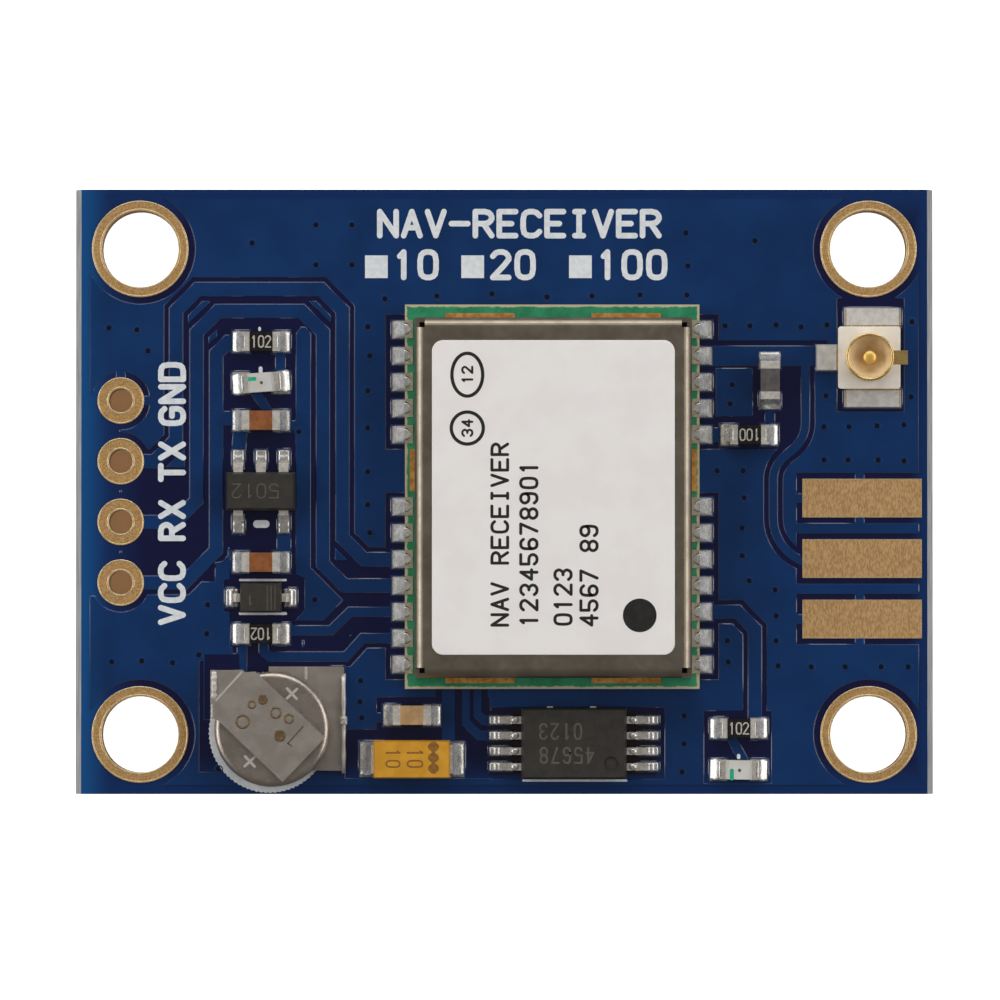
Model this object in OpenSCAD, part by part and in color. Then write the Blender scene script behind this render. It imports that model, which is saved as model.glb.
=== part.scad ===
// Satellite positioning receiver module on a small circuit board.
// Origin at the centre of the board's underside, +X along its long side, +Z up, millimetres.

/* [Board] */
// Board left of the receiver carrier
margin_left = 13.8; // [13:0.1:20]
// Board right of the receiver carrier
margin_right = 9.8; // [9.2:0.1:16]
// Board above the receiver carrier
margin_top = 4.85; // [4:0.05:10]
// Board below the receiver carrier
margin_bottom = 4.4; // [4.2:0.05:10]
// Thickness of the board over copper and mask
board_t = 1.6; // [1:0.1:3.2]
// Depth of the score groove left on the short sides
score_depth = 0.5; // [0.2:0.05:0.6]
// Run of the score groove's slope
score_run = 0.25; // [0.1:0.05:0.4]
// Thickness of the copper foil
copper_t = 0.035; // [0.03:0.005:0.07]
// Thickness of the solder mask
mask_t = 0.025; // [0.015:0.005:0.03]
// Gap that parts the traces from the ground pour
copper_gap = 0.29; // [0.2:0.01:0.35]
// Bare rim between the ground pour and the board's edge
pour_rim = 0.4; // [0.3:0.05:0.8]

/* [Mounting holes] */
// Diameter of the mounting holes
hole_d = 3.2; // [2.2:0.1:3.4]
// Diameter of the plated ring round a mounting hole
ring_d = 4.05; // [3.8:0.05:4.4]
// Hole centre from the short side
hole_inset_x = 2.71; // [2.6:0.01:4]
// Hole centre from the long side
hole_inset_y = 2.49; // [2.4:0.01:4]
// Wall of the plated barrels
plating_t = 0.05; // [0.03:0.01:0.1]
// Gold-plated copper standing on the laminate
pad_t = 0.06; // [0.04:0.005:0.08]
// Height of the plated pads over the mask beneath the board
pad_proud = 0.01; // [0.005:0.005:0.02]
// Bare ring between a mounting hole's ring and the pour
ring_gap = 0.32; // [0.2:0.02:0.4]

/* [Header holes] */
// Number of header holes
header_count = 4; // [2:1:5]
// Pitch of the header holes
header_pitch = 2.54; // [2.3:0.01:2.8]
// Diameter of a header hole
header_hole_d = 1.0; // [0.8:0.05:1.3]
// Diameter of a header pad
header_pad_d = 1.95; // [1.6:0.05:2.1]
// Header row from the left side
header_inset = 1.9; // [1.7:0.05:2.2]

/* [Antenna edge pads] */
// Length of an edge pad
edge_pad_l = 5.0; // [3.5:0.1:5.2]
// Width of an edge pad
edge_pad_w = 1.62; // [1.2:0.02:1.8]
// Pitch of the edge pads
edge_pad_pitch = 2.53; // [2.4:0.01:2.8]
// Height of the middle edge pad over the board's centre
edge_pad_y = -2.8; // [-4:0.1:-2]
// Edge pad from the right side
edge_pad_inset = 0.48; // [0.4:0.02:1]

/* [Receiver] */
// Width of the receiver carrier
carrier_w = 12.3; // [11:0.1:16]
// Length of the receiver carrier
carrier_l = 16.05; // [15.9:0.05:20]
// Thickness of the receiver carrier
carrier_t = 0.8; // [0.5:0.05:1.2]
// Pitch of the edge contacts
pin_pitch = 1.1; // [1:0.01:1.12]
// Outermost contact from the carrier's end
pin_end = 1.02; // [0.8:0.02:1.1]
// Contacts in the upper row of a side
pins_upper = 5; // [3:1:5]
// Contacts in the lower row of a side
pins_lower = 7; // [4:1:7]
// Radius of a contact's half-round notch
notch_r = 0.3; // [0.2:0.02:0.36]
// Reach of a solder pad past the carrier
pin_reach = 0.56; // [0.4:0.02:0.7]
// Width of a contact's pad
pin_w = 0.76; // [0.7:0.02:0.84]
// Shield can from the carrier's long sides
can_inset_x = 0.38; // [0.36:0.02:0.6]
// Shield can from the carrier's ends
can_inset_y = 0.52; // [0.4:0.02:0.8]
// Height of the shield can
can_h = 1.55; // [1.4:0.05:2.6]
// Sheet thickness of the shield can
can_t = 0.2; // [0.1:0.02:0.24]
// Outer radius of the can's bends
can_bend = 0.4; // [0.3:0.02:0.6]
// Open notch at each top corner of the can
can_notch = 0.42; // [0.3:0.02:0.6]
// Label from the can's long sides
label_inset_x = 0.72; // [0.6:0.02:2]
// Label from the can's ends
label_inset_y = 0.96; // [0.6:0.02:3]
// Corner radius of the label
label_r = 0.47; // [0.2:0.01:1]
// Thickness of the label
label_t = 0.06; // [0.04:0.01:0.15]

/* [Chips] */
// Length of a chip part
chip_l = 1.6; // [1.4:0.05:1.8]
// Width of a chip part
chip_w = 0.8; // [0.6:0.05:0.9]
// Height of a resistor
resistor_h = 0.45; // [0.35:0.05:0.6]
// Height of a ceramic capacitor
capacitor_h = 0.8; // [0.5:0.05:0.9]
// Height of an LED's base
led_base_h = 0.3; // [0.2:0.05:0.4]
// Height of an LED's lens
led_lens_h = 0.35; // [0.2:0.05:0.6]
// Length of a chip part's end terminal
terminal_l = 0.32; // [0.2:0.02:0.4]
// Thickness of a chip part's end terminal
terminal_t = 0.03; // [0.02:0.005:0.05]
// Reach of a solder pad past the chip part's end
chip_pad_reach = 0.42; // [0.2:0.02:0.5]
// Rim of a solder pad along the chip part's side
chip_pad_rim = 0.06; // [0.02:0.01:0.1]
// Height of the parts' undersides over the mask
standoff = 0.02; // [0.01:0.01:0.06]

/* [Left column] */
// Left column of parts from the left side
column_inset = 7.78; // [7.6:0.02:8.4]
// Upper resistor over the board's centre
resistor_1_y = 6.27; // [6.2:0.01:6.6]
// Upper LED over the board's centre
led_1_y = 4.56; // [4.5:0.01:4.8]
// Turn of the upper LED on its pads
led_1_turn = 4; // [-5:1:5]
// Upper capacitor over the board's centre
capacitor_1_y = 2.97; // [2.9:0.01:3.1]
// Regulator over the board's centre
regulator_y = 0; // [-0.1:0.01:0.1]
// Lower capacitor over the board's centre
capacitor_2_y = -2.96; // [-3:0.01:-2.9]
// Diode over the board's centre
diode_y = -4.44; // [-4.5:0.01:-4.3]
// Lower resistor over the board's centre
resistor_2_y = -5.95; // [-6.1:0.01:-5.9]

/* [Regulator] */
// Length of the regulator's body
regulator_l = 2.9; // [2.7:0.05:3.1]
// Width of the regulator's body
regulator_w = 1.6; // [1.4:0.05:1.8]
// Height of the regulator's body
regulator_h = 1.1; // [0.9:0.05:1.3]
// Span over the regulator's leads
regulator_span = 2.95; // [2.6:0.05:3.1]
// Pitch of the regulator's leads
regulator_pitch = 0.95; // [0.85:0.01:1.05]
// Width of a regulator lead
regulator_lead_w = 0.4; // [0.3:0.02:0.5]

/* [Diode] */
// Length of the diode's body
diode_l = 1.75; // [1.6:0.05:1.9]
// Width of the diode's body
diode_w = 1.25; // [1.1:0.05:1.4]
// Height of the diode's body
diode_h = 0.95; // [0.8:0.05:1.1]
// Span over the diode's leads
diode_span = 2.6; // [2.4:0.05:2.9]
// Width of a diode lead
diode_lead_w = 0.35; // [0.25:0.02:0.5]

/* [Memory] */
// Width of the memory's body, lead side to lead side
memory_w = 4.4; // [4:0.1:4.6]
// Length of the memory's body
memory_l = 3.0; // [2.8:0.1:3.3]
// Height of the memory's body
memory_h = 0.95; // [0.8:0.05:1.2]
// Span over the memory's leads
memory_span = 6.4; // [6.2:0.1:7]
// Pitch of the memory's leads
memory_pitch = 0.65; // [0.6:0.01:0.7]
// Width of a memory lead
memory_lead_w = 0.3; // [0.2:0.02:0.34]
// Memory right of the receiver's centre
memory_x = 0.91; // [0:0.01:2]
// Memory from the lower side
memory_inset = 2.12; // [2.05:0.01:2.6]
// Stock of the moulded parts' leads
lead_t = 0.15; // [0.1:0.01:0.2]

/* [Lower row] */
// Row of the lower capacitor and the tantalum capacitor, right of the carrier's left side
lower_row_x = 0.29; // [0:0.01:1]
// Lower capacitor from the lower side
capacitor_3_inset = 3.3; // [3.1:0.01:3.5]
// Tantalum capacitor from the lower side
tantalum_inset = 1.46; // [1.3:0.01:1.6]
// Length of the tantalum capacitor's body
tantalum_l = 3.2; // [3:0.05:3.5]
// Width of the tantalum capacitor's body
tantalum_w = 1.6; // [1.4:0.05:1.75]
// Height of the tantalum capacitor's body
tantalum_h = 1.6; // [1.2:0.05:1.9]
// Lower right resistor and LED right of the carrier's right side
right_pair_x = 1.65; // [1.3:0.01:2.2]
// Lower right resistor from the lower side
resistor_3_inset = 2.75; // [2.7:0.01:3]
// Lower LED from the lower side
led_2_inset = 1.02; // [0.9:0.01:1.1]

/* [Antenna feed] */
// Feed resistor right of the carrier's right side
feed_resistor_x = 2.1; // [2:0.01:2.6]
// Feed resistor over the board's centre
feed_resistor_y = 2.37; // [2.3:0.01:2.5]
// Feed capacitor right of the feed resistor
feed_capacitor_shift = 0.86; // [0.7:0.01:1]
// Feed capacitor over the board's centre
feed_capacitor_y = 4.65; // [4.6:0.01:4.8]
// Antenna socket from the right side
socket_inset = 2.69; // [2.4:0.01:3]
// Antenna socket over the board's centre
socket_y = 5.6; // [5.4:0.02:6]
// Side of the socket's square base
socket_side = 2.6; // [2.4:0.05:2.8]
// Outer diameter of the socket's collar
collar_d = 2.0; // [1.8:0.05:2.1]
// Height of the socket over its seat
socket_h = 1.25; // [1:0.05:1.6]
// Height of the socket's moulded base
socket_base_h = 0.45; // [0.35:0.05:0.7]
// Width of the socket's ground feet
foot_w = 2.26; // [1.8:0.02:2.4]
// Reach of the ground feet past the base
foot_l = 0.75; // [0.5:0.05:0.9]
// Width of the signal tail
tail_w = 1.05; // [0.6:0.05:1.2]
// Reach of the signal tail past the base
tail_l = 0.86; // [0.5:0.02:0.9]

/* [Backup cell] */
// Diameter of the cell
cell_d = 4.8; // [4.4:0.1:5]
// Height of the cell
cell_h = 1.4; // [1.2:0.05:2.2]
// Cell from the left side
cell_inset_x = 8.26; // [7.8:0.02:8.6]
// Cell from the lower side
cell_inset_y = 2.72; // [2.6:0.02:2.9]
// Sheet of the cell's strap and tab
tab_t = 0.15; // [0.1:0.01:0.2]
// Width of the cell's top strap
strap_w = 2.55; // [2:0.05:3]
// Direction of the strap's foot, anticlockwise from +X
strap_turn = 136.4; // [130:0.1:140]
// Width of the cell's base tab
base_tab_w = 3.1; // [2.6:0.05:3.3]
// Length of the cell's base tab
base_tab_l = 4.35; // [3.8:0.05:4.5]

/* [Hidden] */
$fn = 48;

// Board and stack of layers
board_w = margin_left + carrier_w + margin_right;
board_l = margin_bottom + carrier_l + margin_top;
east = board_w / 2;
west = -east;
north = board_l / 2;
south = -north;
laminate_base = pad_proud + mask_t;
laminate_top = board_t - copper_t - mask_t;
foil_top = laminate_top + copper_t;
gold_top = laminate_top + pad_t;
seat = board_t + standoff;
mask_side = 0.02;
face_w = board_w - 2 * score_run;

// Receiver
receiver = [west + margin_left + carrier_w / 2, south + margin_bottom + carrier_l / 2];
carrier_left = receiver.x - carrier_w / 2;
carrier_right = receiver.x + carrier_w / 2;
carrier_top = seat + carrier_t;
pin_rows = concat(
    [for (i = [0 : pins_upper - 1]) carrier_l / 2 - pin_end - i * pin_pitch],
    [for (i = [pins_lower - 1 : -1 : 0]) pin_end - carrier_l / 2 + i * pin_pitch]);
pin_sides = [-1, 1];
strip_t = 0.03;
can_w = carrier_w - 2 * can_inset_x;
can_l = carrier_l - 2 * can_inset_y;
can_shift = [0.04, -0.06];
can_gap = 0.01;
can = receiver + can_shift;
can_base = carrier_top + strip_t;
can_top = can_base + can_h;

// Places of the parts
column_x = west + column_inset;
lower_x = carrier_left + lower_row_x;
right_x = carrier_right + right_pair_x;
feed_x = carrier_right + feed_resistor_x;
resistors = [[column_x, resistor_1_y], [column_x, resistor_2_y], [right_x, south + resistor_3_inset],
    [feed_x, feed_resistor_y]];
capacitors = [[column_x, capacitor_1_y], [column_x, capacitor_2_y], [lower_x, south + capacitor_3_inset],
    [feed_x + feed_capacitor_shift, feed_capacitor_y]];
capacitor_turns = [0, 0, 0, 90];
leds = [[column_x, led_1_y], [right_x, south + led_2_inset]];
led_turns = [led_1_turn, -1];
regulator = [column_x, regulator_y];
diode = [column_x, diode_y];
memory = [receiver.x + memory_x, south + memory_inset];
tantalum = [lower_x, south + tantalum_inset];
cell = [west + cell_inset_x, south + cell_inset_y];
socket = [east - socket_inset, socket_y];
header_x = west + header_inset;
header_rows = [for (i = [0 : header_count - 1]) (header_count - 1) / 2 * header_pitch - i * header_pitch];
edge_pad_rows = [for (i = [1 : -1 : -1]) edge_pad_y + i * edge_pad_pitch];
edge_pad_x = east - edge_pad_inset - edge_pad_l / 2;
holes = [for (x = [-1, 1], y = [-1, 1]) [x * (east - hole_inset_x), y * (north - hole_inset_y)]];

// Solder pads: centre, then size
chip_pad_l = chip_pad_reach + terminal_l;
chip_pad_at = chip_l / 2 + chip_pad_reach - chip_pad_l / 2;
chip_pad_w = chip_w + 2 * chip_pad_rim;
function chip_pads(place, upright = false) = [for (s = [-1, 1])
    upright ? [place + [0, s * chip_pad_at], [chip_pad_w, chip_pad_l]]
            : [place + [s * chip_pad_at, 0], [chip_pad_l, chip_pad_w]]];
pin_pad_in = 0.2;
pin_pads = [for (s = pin_sides, y = pin_rows)
    [[receiver.x + s * (carrier_w / 2 + (pin_reach - pin_pad_in) / 2), receiver.y + y],
     [pin_reach + pin_pad_in, pin_w]]];
regulator_foot = 0.55;
regulator_places = concat(
    [for (i = [-1 : 1]) [i * regulator_pitch, 1]],
    [for (i = [-1, 1]) [i * regulator_pitch, -1]]);
lead_pad_rim = 0.06;
lead_pad_reach = 0.3;
regulator_pads = [for (p = regulator_places)
    [regulator + [p[0], p[1] * (regulator_span / 2 + (lead_pad_reach - regulator_foot) / 2)],
     [regulator_lead_w + 2 * lead_pad_rim, regulator_foot + lead_pad_reach]]];
diode_foot = 0.3;
diode_pad_w = 0.8;
diode_pad_reach = 0.2;
diode_pads = [for (s = [-1, 1])
    [diode + [s * (diode_span / 2 + (diode_pad_reach - diode_foot) / 2), 0],
     [diode_foot + diode_pad_reach, diode_pad_w]]];
memory_foot = 0.6;
memory_rows = [for (i = [0 : 3]) (1.5 - i) * memory_pitch];
memory_pad_rim = 0.04;
memory_pads = [for (s = [-1, 1], y = memory_rows)
    [memory + [s * (memory_span / 2 + (lead_pad_reach + lead_pad_rim - memory_foot) / 2), y],
     [memory_foot + lead_pad_reach + lead_pad_rim, memory_lead_w + 2 * memory_pad_rim]]];
tantalum_tab_l = 0.8;
tantalum_tab_w = 1.2;
tantalum_end_t = 0.1;
tantalum_reach = 0.5;
tantalum_pad_rim = 0.15;
tantalum_pads = [for (s = [-1, 1])
    [tantalum + [s * (tantalum_l / 2 + tantalum_end_t + (tantalum_reach - tantalum_tab_l) / 2), 0],
     [tantalum_tab_l + tantalum_reach, tantalum_tab_w + 2 * tantalum_pad_rim]]];
strap_gap = 0.05;
strap_leg = cell_d / 2 + strap_gap;
strap_foot_w = 1.9;
strap_way = [cos(strap_turn), sin(strap_turn)];
strap_pad_size = [1.45, 2.7];
strap_pad_drop = 0.25;
strap_pad = [cell + (strap_leg + strap_foot_w / 4) * strap_way - [0, strap_pad_drop], strap_pad_size];
base_tab_lap = 1.01;
base_tab_rise = 0.44;
base_tab = cell + [cell_d / 2 - base_tab_lap, base_tab_rise];
base_pad_l = 0.62;
base_pad_reach = 0.06;
base_pad = [base_tab + [(base_tab_w - base_pad_l) / 2 + base_pad_reach, 0], [base_pad_l, base_tab_l]];
cell_pads = [strap_pad, base_pad];
foot_shift = 0.15;
foot_rim = 0.08;
socket_pads = concat(
    [for (s = [-1, 1]) [socket + [foot_shift, s * (socket_side + foot_l) / 2],
        [foot_w + 2 * foot_rim, foot_l + foot_rim]]],
    [[socket - [(socket_side + tail_l) / 2, 0], [tail_l + foot_rim, tail_w + foot_rim]]]);
solder_pads = concat(
    [for (place = resistors) each chip_pads(place)],
    [for (i = [0 : 3]) each chip_pads(capacitors[i], capacitor_turns[i] == 90)],
    [for (place = leds) each chip_pads(place)],
    pin_pads, regulator_pads, diode_pads, memory_pads, tantalum_pads, cell_pads, socket_pads);

// Lines of a given width along a path, with mitred corners
function left_of(v) = [-v.y, v.x] / norm(v);
function way_in(path, i) = i == 0 ? path[1] - path[0] : path[i] - path[i - 1];
function way_out(path, i) = i == len(path) - 1 ? way_in(path, i) : path[i + 1] - path[i];
function mitre(a, b) = (a + b) / (1 + a * b);
function beside(path, half) = [for (i = [0 : len(path) - 1])
    path[i] + half * mitre(left_of(way_in(path, i)), left_of(way_out(path, i)))];
function reversed(list) = [for (i = [len(list) - 1 : -1 : 0]) list[i]];
function ribbon(path, width) = concat(beside(path, width / 2), reversed(beside(path, -width / 2)));
function arc(centre, r, from, to, steps = 8) = [for (i = [0 : steps])
    centre + r * [cos(from + (to - from) * i / steps), sin(from + (to - from) * i / steps)]];

module block(size, z = 0) {
    translate([0, 0, z + size.z / 2])
        cube(size, center = true);
}

module put(place, z = seat, turn = 0) {
    translate([place.x, place.y, z])
        rotate(turn)
            children();
}

module span_rect(low, high, grow = 0) {
    translate(low - [grow, grow])
        square(high - low + 2 * [grow, grow]);
}

module layer(z, t) {
    translate([0, 0, z])
        linear_extrude(t)
            children();
}

// Section drawn in the XZ plane and carried along Y
module along_y(length) {
    rotate([90, 0, 0])
        linear_extrude(length, center = true)
            children();
}

// Section drawn in the YZ plane and carried along X
module along_x(length) {
    rotate([90, 0, 90])
        linear_extrude(length, center = true)
            children();
}

// Copper artwork

// Lanes of the traces, from the board's left side to the receiver
trace_w = 0.5;
thin_w = 0.33;
tx_lane = column_x - 3.57;
rx_lane = column_x - 2.71;
vcc_lane = column_x - 1.89;
supply_lane = column_x + 1.76;
rx_return = column_x + 2.58;
tx_return = column_x + 3.4;
tx_run = 8.48;
rx_run = 7.56;
left_pin_x = carrier_left - pin_reach / 2;
right_pin_x = carrier_right + pin_reach / 2;
function pin_y(i) = receiver.y + pin_rows[i];
function header_y(i) = header_rows[min(i, header_count - 1)];

// A path that leaves a lane for a run, or a run for a lane, by a corner cut at 45 degrees
cut = 0.9;

tx_path = [[header_x, header_y(1)], [tx_lane - cut, header_y(1)], [tx_lane, header_y(1) + cut],
    [tx_lane, tx_run - cut], [tx_lane + cut, tx_run], [tx_return - cut, tx_run], [tx_return, tx_run - cut],
    [tx_return, pin_y(7) + cut], [tx_return + cut, pin_y(7)], [left_pin_x, pin_y(7)]];
rx_path = [[header_x, header_y(2)], [rx_lane - cut, header_y(2)], [rx_lane, header_y(2) + cut],
    [rx_lane, rx_run - cut], [rx_lane + cut, rx_run], [rx_return - cut, rx_run], [rx_return, rx_run - cut],
    [rx_return, pin_y(8) + cut], [rx_return + cut, pin_y(8)], [left_pin_x, pin_y(8)]];
vcc_cut = 1.35;
vcc_path = [[header_x, header_y(3)], [vcc_lane - vcc_cut, header_y(3)], [vcc_lane, header_y(3) + vcc_cut],
    [vcc_lane, resistor_1_y - 0.5], [vcc_lane + 0.5, resistor_1_y], [column_x - chip_pad_at, resistor_1_y]];
vcc_branch = [[vcc_lane, capacitor_1_y + 0.1], [column_x - chip_pad_at, capacitor_1_y + 0.1]];
charge_path = [[column_x + chip_pad_at, resistor_2_y + 0.14], [column_x + 2.92, resistor_2_y + 0.14],
    [column_x + 3.72, pin_y(9)], [left_pin_x, pin_y(9)]];
backup_path = [[column_x + 0.1, resistor_2_y - 0.3], [column_x + 0.1, resistor_2_y - 0.7],
    [column_x + 0.35, resistor_2_y - 0.95], [column_x + 3.55, resistor_2_y - 0.95],
    [column_x + 4.25, pin_y(10)], [left_pin_x, pin_y(10)]];
cell_stub = [[column_x - 0.8, resistor_2_y - 0.3], [column_x - 0.8, cell.y + cell_d / 2 - 0.2]];

// Power lane beside the left column, ending in a field with a pointed tip
module supply_field(grow = 0) {
    half = 0.27;
    foot_y = diode_y - 0.92;
    polygon(beside([
        [supply_lane - half, regulator_y + 6.6],
        [supply_lane - half + 0.18, regulator_y + 6.85],
        [supply_lane + half - 0.18, regulator_y + 6.85],
        [supply_lane + half, regulator_y + 6.6],
        [supply_lane + half, diode_y + 1.25],
        [supply_lane + 1.6, diode_y - 0.1],
        [supply_lane + 0.82, foot_y],
        [supply_lane - half, foot_y],
        [supply_lane + 0.1, foot_y + 0.4],
        [supply_lane + 0.1, diode_y + 0.85],
        [supply_lane - half, diode_y + 1],
        [supply_lane - half, regulator_y + 6.6]], grow));
}

// Antenna feed: a broad run to the socket and a narrow line that winds down to the middle edge pad
feed_w = 0.75;
line_w = 0.29;
line_x = east - 5.35;
line_bend = 1.4;
line_turn = 50;
line_skew = 0.5;
return_bend = 1.3;
end_bend = 1.9;
line_top = edge_pad_y + 5.67;
bend_end = [line_x - line_bend + line_bend * cos(line_turn), line_top - line_bend * sin(line_turn)];
skew_end = bend_end - line_skew * [sin(line_turn), cos(line_turn)];
return_centre = skew_end + return_bend * [cos(line_turn), -sin(line_turn)];
line_low_x = return_centre.x - return_bend;
feed_line = concat(
    [[line_x, pin_y(1)]],
    arc([line_x - line_bend, line_top], line_bend, 0, -line_turn),
    arc(return_centre, return_bend, 180 - line_turn, 180),
    arc([line_low_x + end_bend, edge_pad_y + 1.68], end_bend, 180, 246),
    [[edge_pad_x - edge_pad_l / 2, edge_pad_y]]);
feed_run = [[right_pin_x, pin_y(1)], [socket.x - socket_side / 2 - tail_l / 2, pin_y(1)]];
feed_stub = [[feed_x + feed_capacitor_shift, feed_capacitor_y - chip_pad_at],
    [feed_x + feed_capacitor_shift, feed_resistor_y]];
bias_stub = [[right_pin_x, pin_y(4)], [feed_x - chip_pad_at, pin_y(4)]];
pulse_path = [[right_pin_x, pin_y(9)], [right_x - 0.05, pin_y(9)], [right_x + 0.68, pin_y(9) - 0.73],
    [right_x + 0.68, south + resistor_3_inset]];
pulse_stub = [[right_x - 0.3, south + resistor_3_inset - 0.4], [right_x + 0.25, south + led_2_inset + 0.3]];
reserve_path = [[lower_x + 1.52, receiver.y - carrier_l / 2 + 1], [lower_x + 1.52, tantalum.y]];
memory_left = memory.x - memory_span / 2;
clock_lane = lower_x + 2.25;
clock_y = memory.y + memory_rows[1];
clock_cut = 0.55;
clock_path = [[clock_lane, receiver.y - carrier_l / 2 + 1], [clock_lane, clock_y + clock_cut],
    [clock_lane + clock_cut, clock_y], [memory_left, clock_y]];
data_lane = lower_x + 2.74;
data_y = memory.y + memory_rows[0];
data_cut = 0.25;
data_path = [[data_lane, receiver.y - carrier_l / 2 + 1], [data_lane, data_y + data_cut],
    [data_lane + data_cut, data_y], [memory_left, data_y]];

traces = [
    [tx_path, trace_w], [rx_path, trace_w], [vcc_path, trace_w], [vcc_branch, trace_w],
    [charge_path, thin_w], [backup_path, thin_w], [cell_stub, thin_w],
    [feed_run, feed_w], [feed_line, line_w], [feed_stub, thin_w], [bias_stub, trace_w],
    [pulse_path, trace_w], [pulse_stub, thin_w], [reserve_path, trace_w],
    [clock_path, line_w], [data_path, line_w],
    [[[column_x - 0.86, capacitor_1_y], [column_x - 0.95, regulator_y + regulator_span / 2]], trace_w],
    [[[column_x + 0.95, regulator_y - regulator_span / 2], [column_x + 0.95, capacitor_2_y]], trace_w],
    [[[column_x + 0.8, resistor_1_y], [column_x + 0.8, led_1_y]], thin_w],
    [[[column_x - 0.3, led_1_y - 0.3], [column_x + 0.35, capacitor_1_y + 0.3]], thin_w]];

// Ties that join ground pads to the pour across their gaps
tie_w = 0.3;
tie_l = 0.5;
ties = concat(
    [for (s = [-1, 1], i = [0, 2])
        [[edge_pad_x - 0.1, edge_pad_rows[i] + s * edge_pad_w / 2],
         [edge_pad_x - 0.1, edge_pad_rows[i] + s * (edge_pad_w / 2 + tie_l)]]],
    [for (i = [0, 2])
        [[edge_pad_x - edge_pad_l / 2 - tie_l, edge_pad_rows[i]],
         [edge_pad_x - edge_pad_l / 2, edge_pad_rows[i]]]],
    [for (turn = [0, 90])
        [[header_x, header_y(0)],
         [header_x, header_y(0)] + (header_pad_d / 2 + tie_l) * [cos(turn), sin(turn)]]],
    [[[column_x - chip_pad_at, capacitor_2_y], [column_x - 1.9, capacitor_2_y - 0.2]],
     [[column_x + chip_pad_at, capacitor_1_y - 0.2], [supply_lane, capacitor_1_y - 0.2]],
     [[lower_x - chip_pad_at, capacitors[2].y - 0.1], [lower_x - 1.75, capacitors[2].y - 0.1]]]);

module trace_lines(grow = 0) {
    for (t = traces)
        polygon(ribbon(t[0], t[1] + 2 * grow));
    supply_field(grow);
}

module tie_lines(grow = 0) {
    for (t = ties)
        polygon(ribbon(t, tie_w + 2 * grow));
}

module pad_fields(grow = 0) {
    for (p = solder_pads)
        translate(p[0])
            square(p[1] + 2 * [grow, grow], center = true);
}

module edge_pad_fields(grow = 0) {
    for (y = edge_pad_rows)
        span_rect([edge_pad_x - edge_pad_l / 2, y - edge_pad_w / 2],
            [edge_pad_x + edge_pad_l / 2, y + edge_pad_w / 2], grow);
}

module ring_discs(grow = 0) {
    for (p = holes)
        translate(p)
            circle(d = ring_d + 2 * grow);
}

module header_discs(grow = 0) {
    for (y = header_rows)
        translate([header_x, y])
            circle(d = header_pad_d + 2 * grow);
}

// Small island of ground between the feed run and the feed resistor
module feed_island(grow = 0) {
    span_rect([carrier_right + 0.75, feed_resistor_y + 0.83],
        [carrier_right + 2.2, feed_resistor_y + 2.75], grow);
}

// Areas that hold no ground pour
module bare_areas(grow = 0) {
    box_out = 0.86;
    upper_end = pin_rows[0] + pin_w / 2 + 0.3;
    lower_end = pin_rows[len(pin_rows) - 1] - pin_w / 2 - 0.3;
    gap_high = pin_rows[pins_upper - 1] - pin_w / 2 - 0.27;
    gap_low = pin_rows[pins_upper] + pin_w / 2 + 0.25;
    for (s = pin_sides)
        for (rows = [[gap_high, upper_end], [lower_end, gap_low]])
            span_rect([receiver.x + s * carrier_w / 2 - (s < 0 ? box_out : 0.2), receiver.y + rows[0]],
                [receiver.x + s * carrier_w / 2 + (s > 0 ? box_out : 0.2), receiver.y + rows[1]], grow);
    span_rect([vcc_lane, capacitor_2_y + 0.56], [supply_lane, resistor_1_y + 1], grow);
    span_rect([column_x - 1.35, resistor_2_y - 0.6], [supply_lane, capacitor_2_y + 0.6], grow);
    span_rect([column_x - 1.62, diode_y - 0.62], [supply_lane + 0.1, diode_y + 0.8], grow);
    span_rect([column_x - 1.25, cell.y + 2.6], [tx_return + 0.2, resistor_2_y - 0.5], grow);
    span_rect([strap_pad[0].x - 1.0, cell.y - 1.85],
        [base_tab.x + base_tab_w / 2 + 0.14, cell.y + 2.9], grow);
    span_rect([rx_return, pin_y(10) + 0.1], [carrier_left - 0.7, pin_y(7)], grow);
    span_rect([supply_lane, resistor_2_y - 0.9], [tx_return + 0.35, pin_y(8)], grow);
    span_rect([west, header_y(header_count - 1) - 0.6], [header_x, header_y(0) + 0.3], grow);
    span_rect([header_x, header_y(header_count - 1)], [vcc_lane, header_y(1) - 0.2], grow);
    span_rect([carrier_right + 0.5, feed_resistor_y - 0.62], [line_x - 0.15, pin_y(1)], grow);
    span_rect(socket - [1.38, 2.3], socket + [1.52, 2.53], grow);
    span_rect([tantalum.x - 2.85, tantalum.y - 0.85], [memory.x - 2.8, tantalum.y + 1.28], grow);
    span_rect([lower_x - 1.53, tantalum.y], [lower_x + 3.3, receiver.y - carrier_l / 2 - 0.3], grow);
    span_rect([memory.x - 3.5, memory.y - 1.55], [memory.x + 3.85, memory.y + 1.55], grow);
    span_rect([right_x - 1.5, south + pour_rim], [right_x + 1.42, south + resistor_3_inset + 0.78], grow);
    for (p = holes)
        translate(p + [sign(p.x), sign(p.y)] * ring_d / 2)
            square(ring_d + 2 * grow, center = true);
}

module pour_outline(grow = 0) {
    span_rect([-face_w / 2 + pour_rim, south + pour_rim], [face_w / 2 - pour_rim, north - pour_rim], grow);
}

// The foil's outline; grow sets the outline out by the mask's side wall
module foil_outline(grow = 0) {
    difference() {
        union() {
            difference() {
                pour_outline(grow);
                trace_lines(copper_gap - grow);
                bare_areas(-grow);
                edge_pad_fields(copper_gap - grow);
                header_discs(copper_gap - grow);
            }
            trace_lines(grow);
            tie_lines(grow);
            feed_island(grow);
            pad_fields(grow);
        }
        ring_discs(ring_gap - grow);
    }
}

module bare_pads(grow = 0) {
    edge_pad_fields(grow);
    header_discs(grow);
}

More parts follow.
